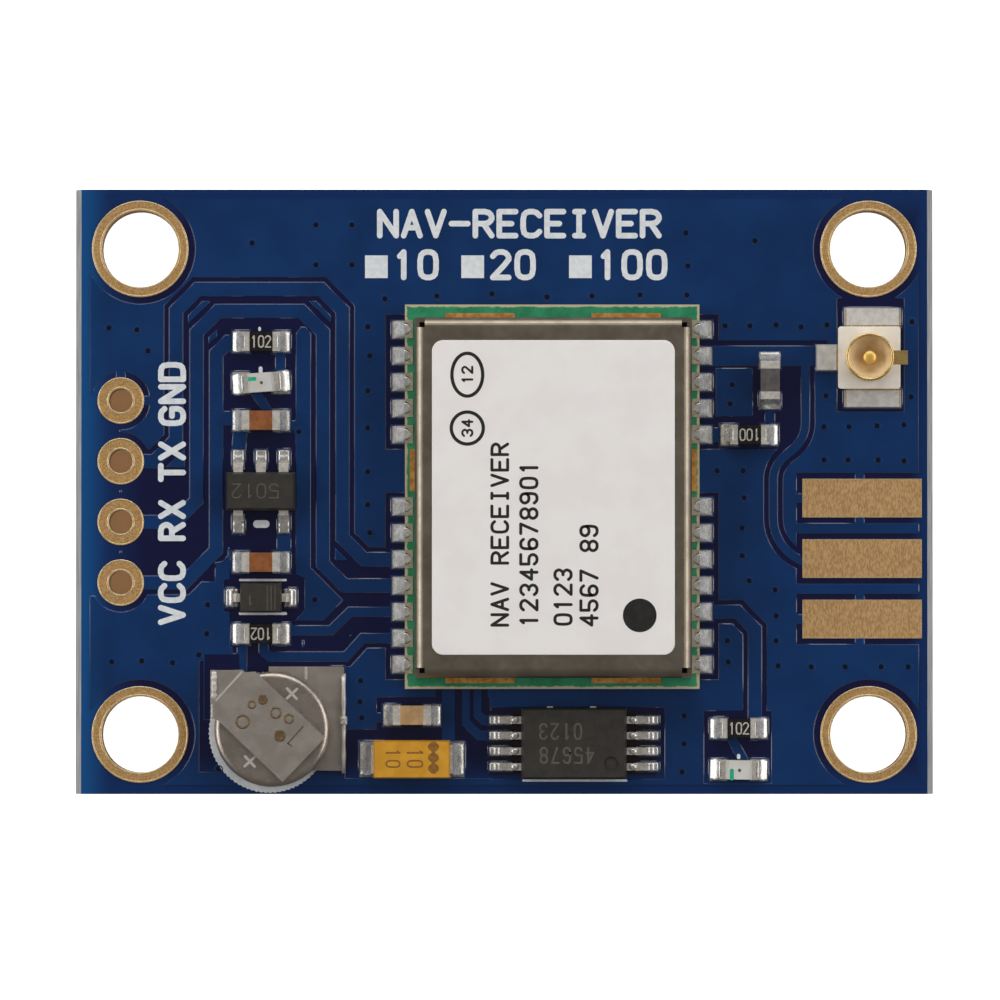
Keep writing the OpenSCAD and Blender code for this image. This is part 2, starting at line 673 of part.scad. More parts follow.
module copper_top() {
    color("peru")
        layer(laminate_top, copper_t)
            difference() {
                foil_outline();
                bare_pads();
            }
}

// Printed board

module drill_holes(bigger = 0) {
    for (p = holes)
        translate([p.x, p.y, -1])
            cylinder(d = hole_d + 2 * bigger, h = board_t + 2);
    for (y = header_rows)
        translate([header_x, y, -1])
            cylinder(d = header_hole_d + 2 * bigger, h = board_t + 2);
}

module printed_board() {
    color("wheat")
        difference() {
            along_y(board_l)
                polygon([
                    [-face_w / 2, laminate_base],
                    [face_w / 2, laminate_base],
                    [east, laminate_base + score_depth],
                    [east, laminate_top - score_depth],
                    [face_w / 2, laminate_top],
                    [-face_w / 2, laminate_top],
                    [west, laminate_top - score_depth],
                    [west, laminate_base + score_depth]]);
            drill_holes(plating_t);
        }
}

// Mask over bare laminate, raised over the foil, open at every pad
module solder_mask_top() {
    color("royalblue")
        difference() {
            union() {
                layer(laminate_top, mask_t)
                    square([face_w, board_l], center = true);
                layer(laminate_top, copper_t + mask_t)
                    intersection() {
                        foil_outline(mask_side);
                        square([face_w, board_l], center = true);
                    }
            }
            layer(laminate_top - mask_t, mask_t + copper_t)
                foil_outline();
            layer(laminate_top - mask_t, copper_t + 3 * mask_t) {
                pad_fields();
                bare_pads();
                ring_discs();
            }
        }
}

bottom_rows = [edge_pad_rows[0], edge_pad_rows[2]];

module bottom_pad_fields() {
    for (y = bottom_rows)
        span_rect([edge_pad_x - edge_pad_l / 2, y - edge_pad_w / 2],
            [edge_pad_x + edge_pad_l / 2, y + edge_pad_w / 2]);
}

module solder_mask_bottom() {
    color("royalblue")
        layer(pad_proud, mask_t)
            difference() {
                square([face_w, board_l], center = true);
                bottom_pad_fields();
                header_discs();
                ring_discs();
            }
}

// A plated hole: barrel with a flange on each face
module plated_hole(bore_d, flange_d) {
    rotate_extrude()
        polygon([
            [bore_d / 2, 0],
            [flange_d / 2, 0],
            [flange_d / 2, laminate_base],
            [bore_d / 2 + plating_t, laminate_base],
            [bore_d / 2 + plating_t, laminate_top],
            [flange_d / 2, laminate_top],
            [flange_d / 2, gold_top],
            [bore_d / 2, gold_top]]);
}

module mounting_hole_platings() {
    color("goldenrod")
        for (p = holes)
            translate(p)
                plated_hole(hole_d, ring_d);
}

module header_hole_platings() {
    color("goldenrod")
        for (y = header_rows)
            translate([header_x, y])
                plated_hole(header_hole_d, header_pad_d);
}

module antenna_pads_top() {
    color("goldenrod")
        layer(laminate_top, pad_t)
            edge_pad_fields();
}

module antenna_pads_bottom() {
    color("goldenrod")
        layer(0, laminate_base)
            bottom_pad_fields();
}

// Solder

// Share of a part's height that the solder climbs
resistor_climb = 0.8;
capacitor_climb = 0.6;
led_climb = 0.9;
carrier_climb = 0.9;
tantalum_climb = 0.45;

// How far a turned LED's corners reach along X
function led_reach(i) = chip_l / 2 * cos(led_turns[i]) + chip_w / 2 * abs(sin(led_turns[i]));

// Fillet that climbs the end of a part at x = 0 and runs out along +X
module solder_fillet(length, width, height) {
    foot = foil_top - seat;
    along_y(width)
        polygon([[0, foot], [length, foot], [length, foot / 2], [length / 3, height / 3], [0, height]]);
}

module solder_bed(pad) {
    layer(foil_top, seat - foil_top)
        translate(pad[0])
            square(pad[1], center = true);
}

module end_fillets(place, reach, length, width, height, turn = 0) {
    for (s = [0, 180])
        put(place, seat, turn + s)
            translate([reach, 0, 0])
                solder_fillet(length, width, height);
}

module solder_joints() {
    color("silver") {
        for (p = solder_pads)
            solder_bed(p);
        for (p = resistors)
            end_fillets(p, chip_l / 2, chip_pad_reach, chip_w, resistor_h * resistor_climb);
        for (i = [0 : 3])
            end_fillets(capacitors[i], chip_l / 2, chip_pad_reach, chip_w, capacitor_h * capacitor_climb,
                capacitor_turns[i]);
        for (i = [0 : 1])
            end_fillets(leds[i], led_reach(i), chip_l / 2 + chip_pad_reach - led_reach(i), chip_w,
                led_base_h * led_climb);
        for (y = pin_rows)
            end_fillets(receiver + [0, y], carrier_w / 2, pin_reach, pin_w, carrier_t * carrier_climb);
        end_fillets(tantalum, tantalum_l / 2 + tantalum_end_t, tantalum_reach, tantalum_tab_w,
            tantalum_h * tantalum_climb);
        for (p = regulator_places)
            put(regulator + [p[0], p[1] * regulator_span / 2], seat, 90 * p[1])
                solder_fillet(lead_pad_reach, regulator_lead_w, lead_t);
        for (y = memory_rows)
            end_fillets(memory + [0, y], memory_span / 2, lead_pad_reach, memory_lead_w, lead_t);
        end_fillets(diode, diode_span / 2, diode_pad_reach, diode_lead_w, lead_t);
    }
}

// Receiver

module notch_cuts(r) {
    for (s = pin_sides, y = pin_rows)
        translate([receiver.x + s * carrier_w / 2, receiver.y + y, seat - 1])
            cylinder(r = r, h = carrier_t + 2);
}

module receiver_carrier() {
    color("seagreen")
        difference() {
            put(receiver)
                block([carrier_w, carrier_l, carrier_t]);
            notch_cuts(notch_r);
        }
}

// Plating of the half-round contacts, with a pad on the carrier's upper face
module receiver_castellations() {
    pad_l = can_inset_x - can_shift.x - can_gap;
    color("silver")
        difference() {
            union() {
                intersection() {
                    put(receiver)
                        block([carrier_w, carrier_l, carrier_t]);
                    for (s = pin_sides, y = pin_rows)
                        translate([receiver.x + s * carrier_w / 2, receiver.y + y, seat])
                            cylinder(r = notch_r, h = carrier_t);
                }
                for (s = pin_sides, y = pin_rows)
                    translate([receiver.x + s * (carrier_w - pad_l) / 2, receiver.y + y, 0])
                        block([pad_l, pin_w, strip_t], carrier_top);
            }
            notch_cuts(notch_r - plating_t);
        }
}

// Strips that the can's walls are soldered to, along the ends and in the gaps between the contact rows
strip_reach = 0.22;
end_strip_l = 2.9;
end_strip_at = 3.05;
strip_gap = 0.25;
side_strip_l = pin_rows[pins_upper - 1] - pin_rows[pins_upper] - pin_w - 2 * strip_gap;
side_strip_y = receiver.y + (pin_rows[pins_upper - 1] + pin_rows[pins_upper]) / 2;

module shield_ground_pads() {
    strip_w = can_t + strip_reach;
    color("goldenrod") {
        for (s = [-1, 1], x = [-end_strip_at, end_strip_at])
            translate([can.x + x, can.y + s * (can_l / 2 - can_t + strip_w / 2), 0])
                block([end_strip_l, strip_w, strip_t], carrier_top);
        for (s = [-1, 1])
            translate([can.x + s * (can_w / 2 - can_t + strip_w / 2), side_strip_y, 0])
                block([strip_w, side_strip_l, strip_t], carrier_top);
    }
}

// Half of a folded sheet's section: flat top, round bend, straight wall
module bend_section(width) {
    inner = can_bend - can_t;
    edge = width / 2;
    outline = concat(
        arc([edge - can_bend, can_top - can_bend], can_bend, 0, 90),
        arc([can_bend - edge, can_top - can_bend], can_bend, 90, 180),
        arc([can_bend - edge, can_top - can_bend], inner, 180, 90),
        arc([edge - can_bend, can_top - can_bend], inner, 90, 0));
    polygon(outline);
}

module shield_can() {
    wall_h = can_h - can_bend;
    color("gainsboro")
        translate([can.x, can.y, 0]) {
            along_y(can_l - 2 * can_notch)
                bend_section(can_w);
            along_x(can_w - 2 * can_notch)
                bend_section(can_l);
            difference() {
                block([can_w, can_l, wall_h], can_base);
                block([can_w - 2 * can_t, can_l - 2 * can_t, wall_h + 2], can_base - 1);
            }
        }
}

module receiver_label() {
    label_w = can_w - 2 * label_inset_x;
    label_l = can_l - 2 * label_inset_y;
    color("whitesmoke")
        translate([can.x, can.y, can_top]) {
            block([label_w - 2 * label_r, label_l, label_t]);
            block([label_w, label_l - 2 * label_r, label_t]);
            for (x = [-1, 1], y = [-1, 1])
                translate([x * (label_w / 2 - label_r), y * (label_l / 2 - label_r), 0])
                    cylinder(r = label_r, h = label_t);
        }
}

// Parts sealed under the can, set in from its walls or about its middle
inner_gap = 0.4;
inner_room = [can_w / 2 - can_t - inner_gap, can_l / 2 - can_t - inner_gap];
receiver_chip_size = [5, 5, 0.85];
receiver_chip_at = [0.3, 0.9];
flash_size = [3, 2, 0.6];
oscillator_size = [2, 2.5, 0.8];
crystal_size = [3.2, 1.5, 0.8];
filter_size = [1.1, 1.4, 0.5];
amplifier_size = [1.2, 1.2, 0.55];
inductor_size = [2, 1.25, 0.9];
inductor_at = [-0.2, -3.4];
front_end_y = 2.2;

module inner_part(place, size) {
    put(can + place, carrier_top)
        block(size);
}

module receiver_chip() {
    color("dimgray")
        inner_part(receiver_chip_at, receiver_chip_size);
}

module flash_memory() {
    color("dimgray")
        inner_part([flash_size.x / 2 - inner_room.x, flash_size.y / 2 - inner_room.y], flash_size);
}

module reference_oscillator() {
    color("gold")
        inner_part([oscillator_size.x / 2 - inner_room.x, front_end_y], oscillator_size);
}

module clock_crystal() {
    color("silver")
        inner_part([inner_room.x - crystal_size.x / 2, crystal_size.y / 2 - inner_room.y], crystal_size);
}

module band_filter() {
    above = (amplifier_size.y + filter_size.y) / 2 + inner_gap;
    color("silver")
        inner_part([inner_room.x - filter_size.x / 2, front_end_y + above], filter_size);
}

module low_noise_amplifier() {
    color("dimgray")
        inner_part([inner_room.x - amplifier_size.x / 2, front_end_y], amplifier_size);
}

module converter_inductor() {
    color("dimgray")
        inner_part(inductor_at, inductor_size);
}

// Chip parts: the body's core runs through the terminals

module chip_core(h, sides) {
    side = sides ? terminal_t : 0;
    block([chip_l - 2 * terminal_l, chip_w, h]);
    block([chip_l - 2 * terminal_t, chip_w - 2 * side, h - 2 * terminal_t], terminal_t);
}

// End terminals, folded over the top and bottom, and round the sides too where asked
module chip_terminals(h, sides) {
    difference() {
        for (s = [-1, 1])
            translate([s * (chip_l - terminal_l) / 2, 0, 0])
                block([terminal_l, chip_w, h]);
        chip_core(h, sides);
    }
}

coat_t = 0.02;
coat_rim = 0.04;

module resistor_body(i) {
    color("black")
        put(resistors[i - 1]) {
            chip_core(resistor_h, false);
            block([chip_l - 2 * terminal_l, chip_w - 2 * coat_rim, coat_t], resistor_h);
        }
}

module resistor_terminals(i) {
    color("silver")
        put(resistors[i - 1])
            chip_terminals(resistor_h, false);
}

module capacitor_body(i) {
    color(i == 4 ? "gray" : i == 3 ? "tan" : "peru")
        put(capacitors[i - 1], seat, capacitor_turns[i - 1])
            chip_core(capacitor_h, true);
}

module capacitor_terminals(i) {
    color("silver")
        put(capacitors[i - 1], seat, capacitor_turns[i - 1])
            chip_terminals(capacitor_h, true);
}

module led_base(i) {
    color("ivory")
        put(leds[i - 1], seat, led_turns[i - 1])
            chip_core(led_base_h, false);
}

module led_terminals(i) {
    color("silver")
        put(leds[i - 1], seat, led_turns[i - 1])
            chip_terminals(led_base_h, false);
}

// Clear block with sloped ends over the terminals' inner edges
lens_lap = 0.06;
lens_slope = 0.1;

module led_lens(i) {
    low = chip_l / 2 - terminal_l + lens_lap;
    high = low - lens_slope;
    color("lightyellow")
        put(leds[i - 1], seat + led_base_h, led_turns[i - 1])
            along_y(chip_w)
                polygon([[-low, 0], [low, 0], [high, led_lens_h], [-high, led_lens_h]]);
}

// Moulded parts

// Half of a moulded section, parted at mid height, with drafted sides
function moulded(half, h, draft) = [[-half + draft, 0], [half - draft, 0], [half, h / 2], [half - draft, h],
    [draft - half, h], [-half, h / 2]];

module moulded_body(size, draft, lift) {
    translate([0, 0, lift])
        intersection() {
            along_y(size.y)
                polygon(moulded(size.x / 2, size.z - lift, draft));
            along_x(size.x)
                polygon(moulded(size.y / 2, size.z - lift, draft));
        }
}

// Share of a lead's run that is level before it bends down, and of its foot that lies flat
lead_shoulder = 0.45;
lead_flat = 0.6;

// Formed lead from a body's side at x = 0 out to its toe, lying on its seat
module formed_lead(reach, foot, height, width) {
    step = (reach - foot) * lead_shoulder;
    middle = lead_t / 2;
    along_y(width)
        polygon(ribbon([[0, height], [step, height], [reach - foot, middle], [reach, middle]], lead_t));
}

mould_draft = 0.1;
small_draft = 0.06;
mould_lift = 0.1;
function parting(h) = mould_lift + (h - mould_lift) / 2;

module regulator_body() {
    color("dimgray")
        put(regulator)
            moulded_body([regulator_l, regulator_w, regulator_h], mould_draft, mould_lift);
}

module regulator_leads() {
    color("silver")
        for (p = regulator_places)
            put(regulator + [p[0], p[1] * regulator_w / 2], seat, 90 * p[1])
                formed_lead((regulator_span - regulator_w) / 2, regulator_foot * lead_flat,
                    parting(regulator_h), regulator_lead_w);
}

module diode_body() {
    color("dimgray")
        put(diode)
            moulded_body([diode_l, diode_w, diode_h], small_draft, mould_lift);
}

module diode_leads() {
    color("silver")
        for (s = [0, 180])
            put(diode, seat, s)
                translate([diode_l / 2, 0, 0])
                    formed_lead((diode_span - diode_l) / 2, diode_foot * lead_flat,
                        parting(diode_h), diode_lead_w);
}

dimple_r = 0.3;
dimple_depth = 0.06;
dimple_inset = 0.65;

module memory_body() {
    color("dimgray")
        put(memory)
            difference() {
                moulded_body([memory_w, memory_l, memory_h], mould_draft, mould_lift);
                translate([memory_w / 2 - dimple_inset, dimple_inset - memory_l / 2, memory_h - dimple_depth])
                    cylinder(r = dimple_r, h = 1);
            }
}

tie_bar_x = 0.9;
tie_bar_shift = 0.1;
tie_bar_w = 0.25;
tie_bar_l = 0.05;

// Leads on both sides, and the cut ends of the frame's tie bars
module memory_leads() {
    color("silver")
        put(memory, seat) {
            for (s = [0, 180], y = memory_rows)
                rotate(s)
                    translate([memory_w / 2, y, 0])
                        formed_lead((memory_span - memory_w) / 2, memory_foot,
                            parting(memory_h), memory_lead_w);
            for (s = [-1, 1], x = [-tie_bar_x, tie_bar_x])
                translate([x - tie_bar_shift, s * (memory_l + tie_bar_l) / 2, 0])
                    block([tie_bar_w, tie_bar_l, lead_t], parting(memory_h) - lead_t / 2);
        }
}

tantalum_tab_t = 0.1;

module tantalum_body() {
    color("gold")
        put(tantalum)
            moulded_body([tantalum_l, tantalum_w, tantalum_h], small_draft, tantalum_tab_t);
}

// A tab up each end and under the body
module tantalum_terminals() {
    rise = parting(tantalum_h);
    end_x = tantalum_l / 2;
    color("silver")
        for (s = [0, 180])
            put(tantalum, seat, s)
                along_y(tantalum_tab_w)
                    polygon([
                        [end_x - tantalum_tab_l, 0],
                        [end_x + tantalum_end_t, 0],
                        [end_x + tantalum_end_t, rise],
                        [end_x, rise],
                        [end_x - small_draft, tantalum_tab_t],
                        [end_x - tantalum_tab_l, tantalum_tab_t]]);
}

// Backup cell

cell_base = seat + tab_t;
cell_wall = 0.15;
cell_round = 0.25;
seal_t = 0.15;
cap_h = 0.12;

// Cup that is the cell's upper face and side, crimped in at its foot
module cell_case() {
    r = cell_d / 2;
    foot = cell_base + cap_h;
    top = cell_base + cell_h;
    color("silver")
        put(cell, 0)
            rotate_extrude()
                polygon(concat(
                    [[0, top]],
                    reversed(arc([r - cell_round, top - cell_round], cell_round, 0, 90)),
                    [[r, foot + cell_wall], [r - cell_wall, foot], [r - 2 * cell_wall, foot],
                     [r - cell_wall, foot + cell_wall], [r - cell_wall, top - cell_wall],
                     [0, top - cell_wall]]));
}

module cell_gasket() {
    r = cell_d / 2 - cell_wall;
    foot = cell_base + cap_h;
    top = cell_base + cell_h - cell_wall;
    color("black")
        put(cell, 0)
            rotate_extrude()
                polygon([[r - cell_wall - seal_t, foot], [r - cell_wall, foot], [r, foot + cell_wall],
                    [r, top], [r - seal_t, top], [r - seal_t, foot + cell_wall]]);
}

// Lower cap with the cell's filling
module cell_cap() {
    r = cell_d / 2 - cell_wall - seal_t;
    foot = cell_base + cap_h;
    top = cell_base + cell_h - cell_wall;
    color("silver")
        put(cell, 0)
            rotate_extrude()
                polygon([[0, cell_base], [r - 2 * cell_wall, cell_base], [r - cell_wall, foot],
                    [r, foot + cell_wall], [r, top], [0, top]]);
}

strap_tail = 1.85;
strap_shoulder = 0.3;

// Strap welded across the cell's upper face, folded down at its edge to a three-cornered foot
module cell_top_strap() {
    top = cell_base + cell_h;
    color("silver")
        put(cell, 0, strap_turn) {
            layer(top, tab_t)
                polygon([
                    [-strap_tail, -strap_w / 2],
                    [strap_leg - strap_shoulder, -strap_w / 2],
                    [strap_leg, -strap_foot_w / 2],
                    [strap_leg + tab_t, -strap_foot_w / 2],
                    [strap_leg + tab_t, strap_foot_w / 2],
                    [strap_leg, strap_foot_w / 2],
                    [strap_leg - strap_shoulder, strap_w / 2],
                    [-strap_tail, strap_w / 2]]);
            layer(seat, top - seat)
                span_rect([strap_leg, -strap_foot_w / 2], [strap_leg + tab_t, strap_foot_w / 2]);
            layer(seat, tab_t)
                polygon([
                    [strap_leg + tab_t, -strap_foot_w / 2],
                    [strap_leg + tab_t + strap_foot_w / 2, 0],
                    [strap_leg + tab_t, strap_foot_w / 2]]);
        }
}

module cell_base_tab() {
    color("silver")
        put(base_tab)
            block([base_tab_w, base_tab_l, tab_t]);
}

// Antenna socket

collar_t = 0.12;
foot_t = 0.15;
web_w = 1.1;
tab_w = 0.59;
tab_reach = 0.25;
contact_d = 0.56;
contact_drop = 0.3;
base_r = 0.12;

// Collar, the webs that carry it down through the base, the two feet, and a tab at the base's right
module shell_form() {
    collar_r = collar_d / 2;
    difference() {
        translate([0, 0, socket_base_h])
            cylinder(r = collar_r, h = socket_h - socket_base_h);
        cylinder(r = collar_r - collar_t, h = socket_h + 1);
    }
    for (s = [-1, 1]) {
        translate([0, s * (collar_r - collar_t / 2), 0])
            block([web_w, collar_t, socket_base_h]);
        translate([foot_shift, s * ((socket_side + collar_d) / 4 + foot_l / 2), 0])
            block([foot_w, (socket_side - collar_d) / 2 + foot_l, foot_t]);
    }
    translate([(collar_r + socket_side / 2 + tab_reach) / 2, 0, 0])
        block([socket_side / 2 + tab_reach - collar_r + collar_t, tab_w, foot_t], socket_base_h - foot_t);
}

// Centre pin and the tail that runs out to its pad
module contact_form() {
    cylinder(d = contact_d, h = socket_h - contact_drop);
    translate([-(socket_side / 2 + tail_l) / 2, 0, 0])
        block([socket_side / 2 + tail_l, contact_d, foot_t]);
    translate([-(socket_side + tail_l) / 2, 0, 0])
        block([tail_l, tail_w, foot_t]);
}

module socket_insulator() {
    core = socket_side - 2 * base_r;
    color("linen")
        put(socket)
            difference() {
                union() {
                    block([core, socket_side, socket_base_h]);
                    block([socket_side, core, socket_base_h]);
                    for (x = [-1, 1], y = [-1, 1])
                        translate([x * core / 2, y * core / 2, 0])
                            cylinder(r = base_r, h = socket_base_h);
                }
                shell_form();
                contact_form();
            }
}

module socket_shell() {
    color("gold")
        put(socket)
            shell_form();
}

module socket_contact() {
    color("gold")
        put(socket)
            contact_form();
}

printed_board();
copper_top();
solder_mask_top();
solder_mask_bottom();
mounting_hole_platings();
header_hole_platings();
antenna_pads_top();
antenna_pads_bottom();
solder_joints();
receiver_carrier();
receiver_castellations();
shield_ground_pads();
shield_can();
receiver_label();
receiver_chip();
flash_memory();
reference_oscillator();
clock_crystal();
band_filter();
low_noise_amplifier();
converter_inductor();
resistor_body(1);  // resistor_1_body
resistor_terminals(1);  // resistor_1_terminals
resistor_body(2);  // resistor_2_body
resistor_terminals(2);  // resistor_2_terminals
resistor_body(3);  // resistor_3_body
resistor_terminals(3);  // resistor_3_terminals
resistor_body(4);  // resistor_4_body
resistor_terminals(4);  // resistor_4_terminals
capacitor_body(1);  // capacitor_1_body
capacitor_terminals(1);  // capacitor_1_terminals
capacitor_body(2);  // capacitor_2_body
capacitor_terminals(2);  // capacitor_2_terminals
capacitor_body(3);  // capacitor_3_body
capacitor_terminals(3);  // capacitor_3_terminals
capacitor_body(4);  // capacitor_4_body
capacitor_terminals(4);  // capacitor_4_terminals
led_base(1);  // led_1_base
led_terminals(1);  // led_1_terminals
led_lens(1);  // led_1_lens
led_base(2);  // led_2_base
led_terminals(2);  // led_2_terminals
led_lens(2);  // led_2_lens
regulator_body();
regulator_leads();
diode_body();
diode_leads();
memory_body();
memory_leads();
tantalum_body();
tantalum_terminals();
cell_case();
cell_cap();
cell_gasket();
cell_top_strap();
cell_base_tab();
socket_insulator();
socket_shell();
socket_contact();
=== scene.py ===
"""Looks of a satellite positioning receiver module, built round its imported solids.

Lengths are in millimetres until a mesh is made, and then in metres.
"""

import functools
import logging
import math
from dataclasses import dataclass, field
from enum import Enum

import bmesh
import bpy
import numpy as np
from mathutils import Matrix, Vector


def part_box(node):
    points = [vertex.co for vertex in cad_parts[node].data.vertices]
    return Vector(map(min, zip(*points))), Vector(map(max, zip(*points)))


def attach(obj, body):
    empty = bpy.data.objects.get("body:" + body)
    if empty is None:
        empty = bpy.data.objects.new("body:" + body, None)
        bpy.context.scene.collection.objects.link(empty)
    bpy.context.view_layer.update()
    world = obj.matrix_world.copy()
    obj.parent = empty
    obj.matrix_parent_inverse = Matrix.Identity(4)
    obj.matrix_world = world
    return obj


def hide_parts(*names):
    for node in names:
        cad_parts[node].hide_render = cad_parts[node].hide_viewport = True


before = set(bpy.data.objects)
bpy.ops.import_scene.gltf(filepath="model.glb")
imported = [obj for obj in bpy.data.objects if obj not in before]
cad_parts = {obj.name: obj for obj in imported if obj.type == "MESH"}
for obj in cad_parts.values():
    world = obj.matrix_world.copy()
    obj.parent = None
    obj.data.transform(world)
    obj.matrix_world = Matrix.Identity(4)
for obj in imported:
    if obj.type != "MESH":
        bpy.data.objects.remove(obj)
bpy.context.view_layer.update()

MM = 0.001
BODY = "root"
LOG = logging.getLogger("receiver_module")
Colour = tuple[int, int, int]
Place = tuple[float, float]

# Levels of the printed board
FILM_TOP = 1.565
POUR_TOP = 1.6
FOIL_TOP = 1.575

# Step between the tops of strokes that cross
PRINT_STEP = 0.0008


class Reading(Enum):
    """Ways that a line of lettering runs, as its turn from +X in degrees."""

    ACROSS = 0
    UPWARD = 90
    INVERTED = 180
    DOWNWARD = 270


def linear(colour: Colour) -> tuple[float, float, float, float]:
    """Turns a display colour into scene light.

    Args:
        colour: red, green and blue from 0 to 255.

    Returns:
        The same colour in linear light, with full opacity.
    """
    share = np.array(colour) / 255
    light = np.where(share <= 0.04045, share / 12.92, ((share + 0.055) / 1.055) ** 2.4)
    return (*(float(value) for value in light), 1.0)


def box_mm(node: str) -> tuple[np.ndarray, np.ndarray]:
    """Gives a solid's box.

    Args:
        node: name of the solid.

    Returns:
        Its lowest and its highest corner in millimetres.
    """
    low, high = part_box(node)
    return np.array(low) / MM, np.array(high) / MM


def middle_mm(node: str) -> np.ndarray:
    """Middle of a solid's box in millimetres."""
    low, high = box_mm(node)
    return (low + high) / 2


class Shader:
    """A material's nodes, with a short call for each kind that the finishes use."""

    def __init__(self, name: str) -> None:
        """Starts a material that reads Object coordinates in millimetres.

        Args:
            name: the material's name.
        """
        self.material = bpy.data.materials.new(name)
        self.material.use_nodes = True
        self.tree = self.material.node_tree
        self.tree.nodes.clear()
        output = self.tree.nodes.new("ShaderNodeOutputMaterial")
        self.surface = self.tree.nodes.new("ShaderNodeBsdfPrincipled")
        self.tree.links.new(self.surface.outputs[0], output.inputs["Surface"])
        coordinates = self.tree.nodes.new("ShaderNodeTexCoord")
        self.coordinates = coordinates.outputs["Object"]
        self.place = self.mapped((1, 1, 1))

    def put(self, socket: bpy.types.NodeSocket, value: object) -> None:
        """Links a socket to another, or sets its constant.

        Args:
            socket: the input.
            value: an output socket, or the constant.
        """
        if isinstance(value, bpy.types.NodeSocket):
            self.tree.links.new(value, socket)
        else:
            socket.default_value = value

    def set(self, **values: object) -> None:
        """Sets inputs of the surface, with underscores for the spaces in their names."""
        for name, value in values.items():
            self.put(self.surface.inputs[name.replace("_", " ")], value)

    def mapped(self, stretch: tuple[float, float, float]) -> bpy.types.NodeSocket:
        """Scales Object coordinates to millimetres.

        Args:
            stretch: how far a pattern is drawn out along each axis.

        Returns:
            The place as a vector.
        """
        node = self.tree.nodes.new("ShaderNodeMapping")
        node.inputs["Scale"].default_value = tuple(1 / (MM * value) for value in stretch)
        self.tree.links.new(self.coordinates, node.inputs["Vector"])
        return node.outputs[0]

    def noise(self, size: float, stretch: tuple[float, float, float] = (1, 1, 1),
              detail: float = 3.0) -> bpy.types.NodeSocket:
        """Cloudy noise.

        Args:
            size: size of its spots in millimetres.
            stretch: how far it is drawn out along each axis.
            detail: octaves.

        Returns:
            A value about 0.5.
        """
        node = self.tree.nodes.new("ShaderNodeTexNoise")
        node.inputs["Scale"].default_value = 1 / size
        node.inputs["Detail"].default_value = detail
        self.tree.links.new(self.mapped(stretch), node.inputs["Vector"])
        return node.outputs[0]

    def axis(self, index: int, origin: float = 0.0) -> bpy.types.NodeSocket:
        """Takes one Object coordinate.

        Args:
            index: 0, 1 or 2 for X, Y or Z.
            origin: where it is counted from, in millimetres.

        Returns:
            The coordinate in millimetres.
        """
        node = self.tree.nodes.new("ShaderNodeSeparateXYZ")
        self.tree.links.new(self.place, node.inputs[0])
        return node.outputs[index] if origin == 0 else self.sum("SUBTRACT", node.outputs[index], origin)

    def sum(self, kind: str, first: object, second: object = 0.0) -> bpy.types.NodeSocket:
        """Does one step of arithmetic.

        Args:
            kind: the step, such as ADD, MAXIMUM or ABSOLUTE.
            first: a number or a socket.
            second: another, where the step takes two.

        Returns:
            The result.
        """
        node = self.tree.nodes.new("ShaderNodeMath")
        node.operation = kind
        self.put(node.inputs[0], first)
        self.put(node.inputs[1], second)
        return node.outputs[0]

    def fade(self, value: object, start: float, end: float, low: float = 0.0,
             high: float = 1.0) -> bpy.types.NodeSocket:
        """Carries a value through a smooth step.

        Args:
            value: a number or a socket.
            start: value at which the step begins.
            end: value at which it ends.
            low: result at the start.
            high: result at the end.

        Returns:
            The result.
        """
        node = self.tree.nodes.new("ShaderNodeMapRange")
        node.interpolation_type = "SMOOTHSTEP"
        for socket, number in zip(node.inputs[1:5], (start, end, low, high)):
            socket.default_value = number
        self.put(node.inputs[0], value)
        return node.outputs[0]

    def mix(self, share: object, first: object, second: object) -> bpy.types.NodeSocket:
        """Mixes two colours.

        Args:
            share: share of the second colour.
            first: a display colour or a socket.
            second: another.

        Returns:
            The colour.
        """
        node = self.tree.nodes.new("ShaderNodeMix")
        node.data_type = "RGBA"
        self.put(node.inputs[0], share)
        self.put(node.inputs[6], linear(first) if isinstance(first, tuple) else first)
        self.put(node.inputs[7], linear(second) if isinstance(second, tuple) else second)
        return node.outputs[2]

    def relief(self, height: bpy.types.NodeSocket, depth: float) -> None:
        """Raises the surface by a value from 0 to 1 times a depth.

        Args:
            height: the value.
            depth: the depth in millimetres.
        """
        node = self.tree.nodes.new("ShaderNodeBump")
        node.inputs["Strength"].default_value = 1.0
        node.inputs["Distance"].default_value = depth * MM
        self.tree.links.new(height, node.inputs["Height"])
        self.tree.links.new(node.outputs[0], self.surface.inputs["Normal"])


@dataclass(frozen=True)
class Finish:
    """Two colours in patches, with a grain that sets the gloss and the relief."""

    name: str
    colour: Colour
    patch: Colour
    patch_size: float = 0.6
    grain_size: float = 0.05
    stretch: tuple[float, float, float] = (1, 1, 1)
    gloss: tuple[float, float] = (0.35, 0.5)
    depth: float = 0.002
    metal: float = 0.0
    coat: float = 0.0
    clear: float = 0.0

    @functools.cache
    def material(self) -> bpy.types.Material:
        """Builds the finish once.

        Returns:
            The material.
        """
        shader = Shader(self.name)
        self.paint(shader)
        grain = shader.noise(self.grain_size, self.stretch, 4.0)
        shader.set(Roughness=shader.fade(grain, 0.3, 0.7, *self.gloss), Metallic=self.metal)
        if self.coat:
            shader.set(Coat_Weight=self.coat, Coat_Roughness=0.12)
        if self.clear:
            shader.set(Transmission_Weight=self.clear, IOR=1.5)
        shader.relief(grain, self.depth)
        return shader.material

    def paint(self, shader: Shader) -> None:
        """Colours the surface in patches."""
        patches = shader.fade(shader.noise(self.patch_size, self.stretch), 0.35, 0.65)
        shader.set(Base_Color=shader.mix(patches, self.colour, self.patch))


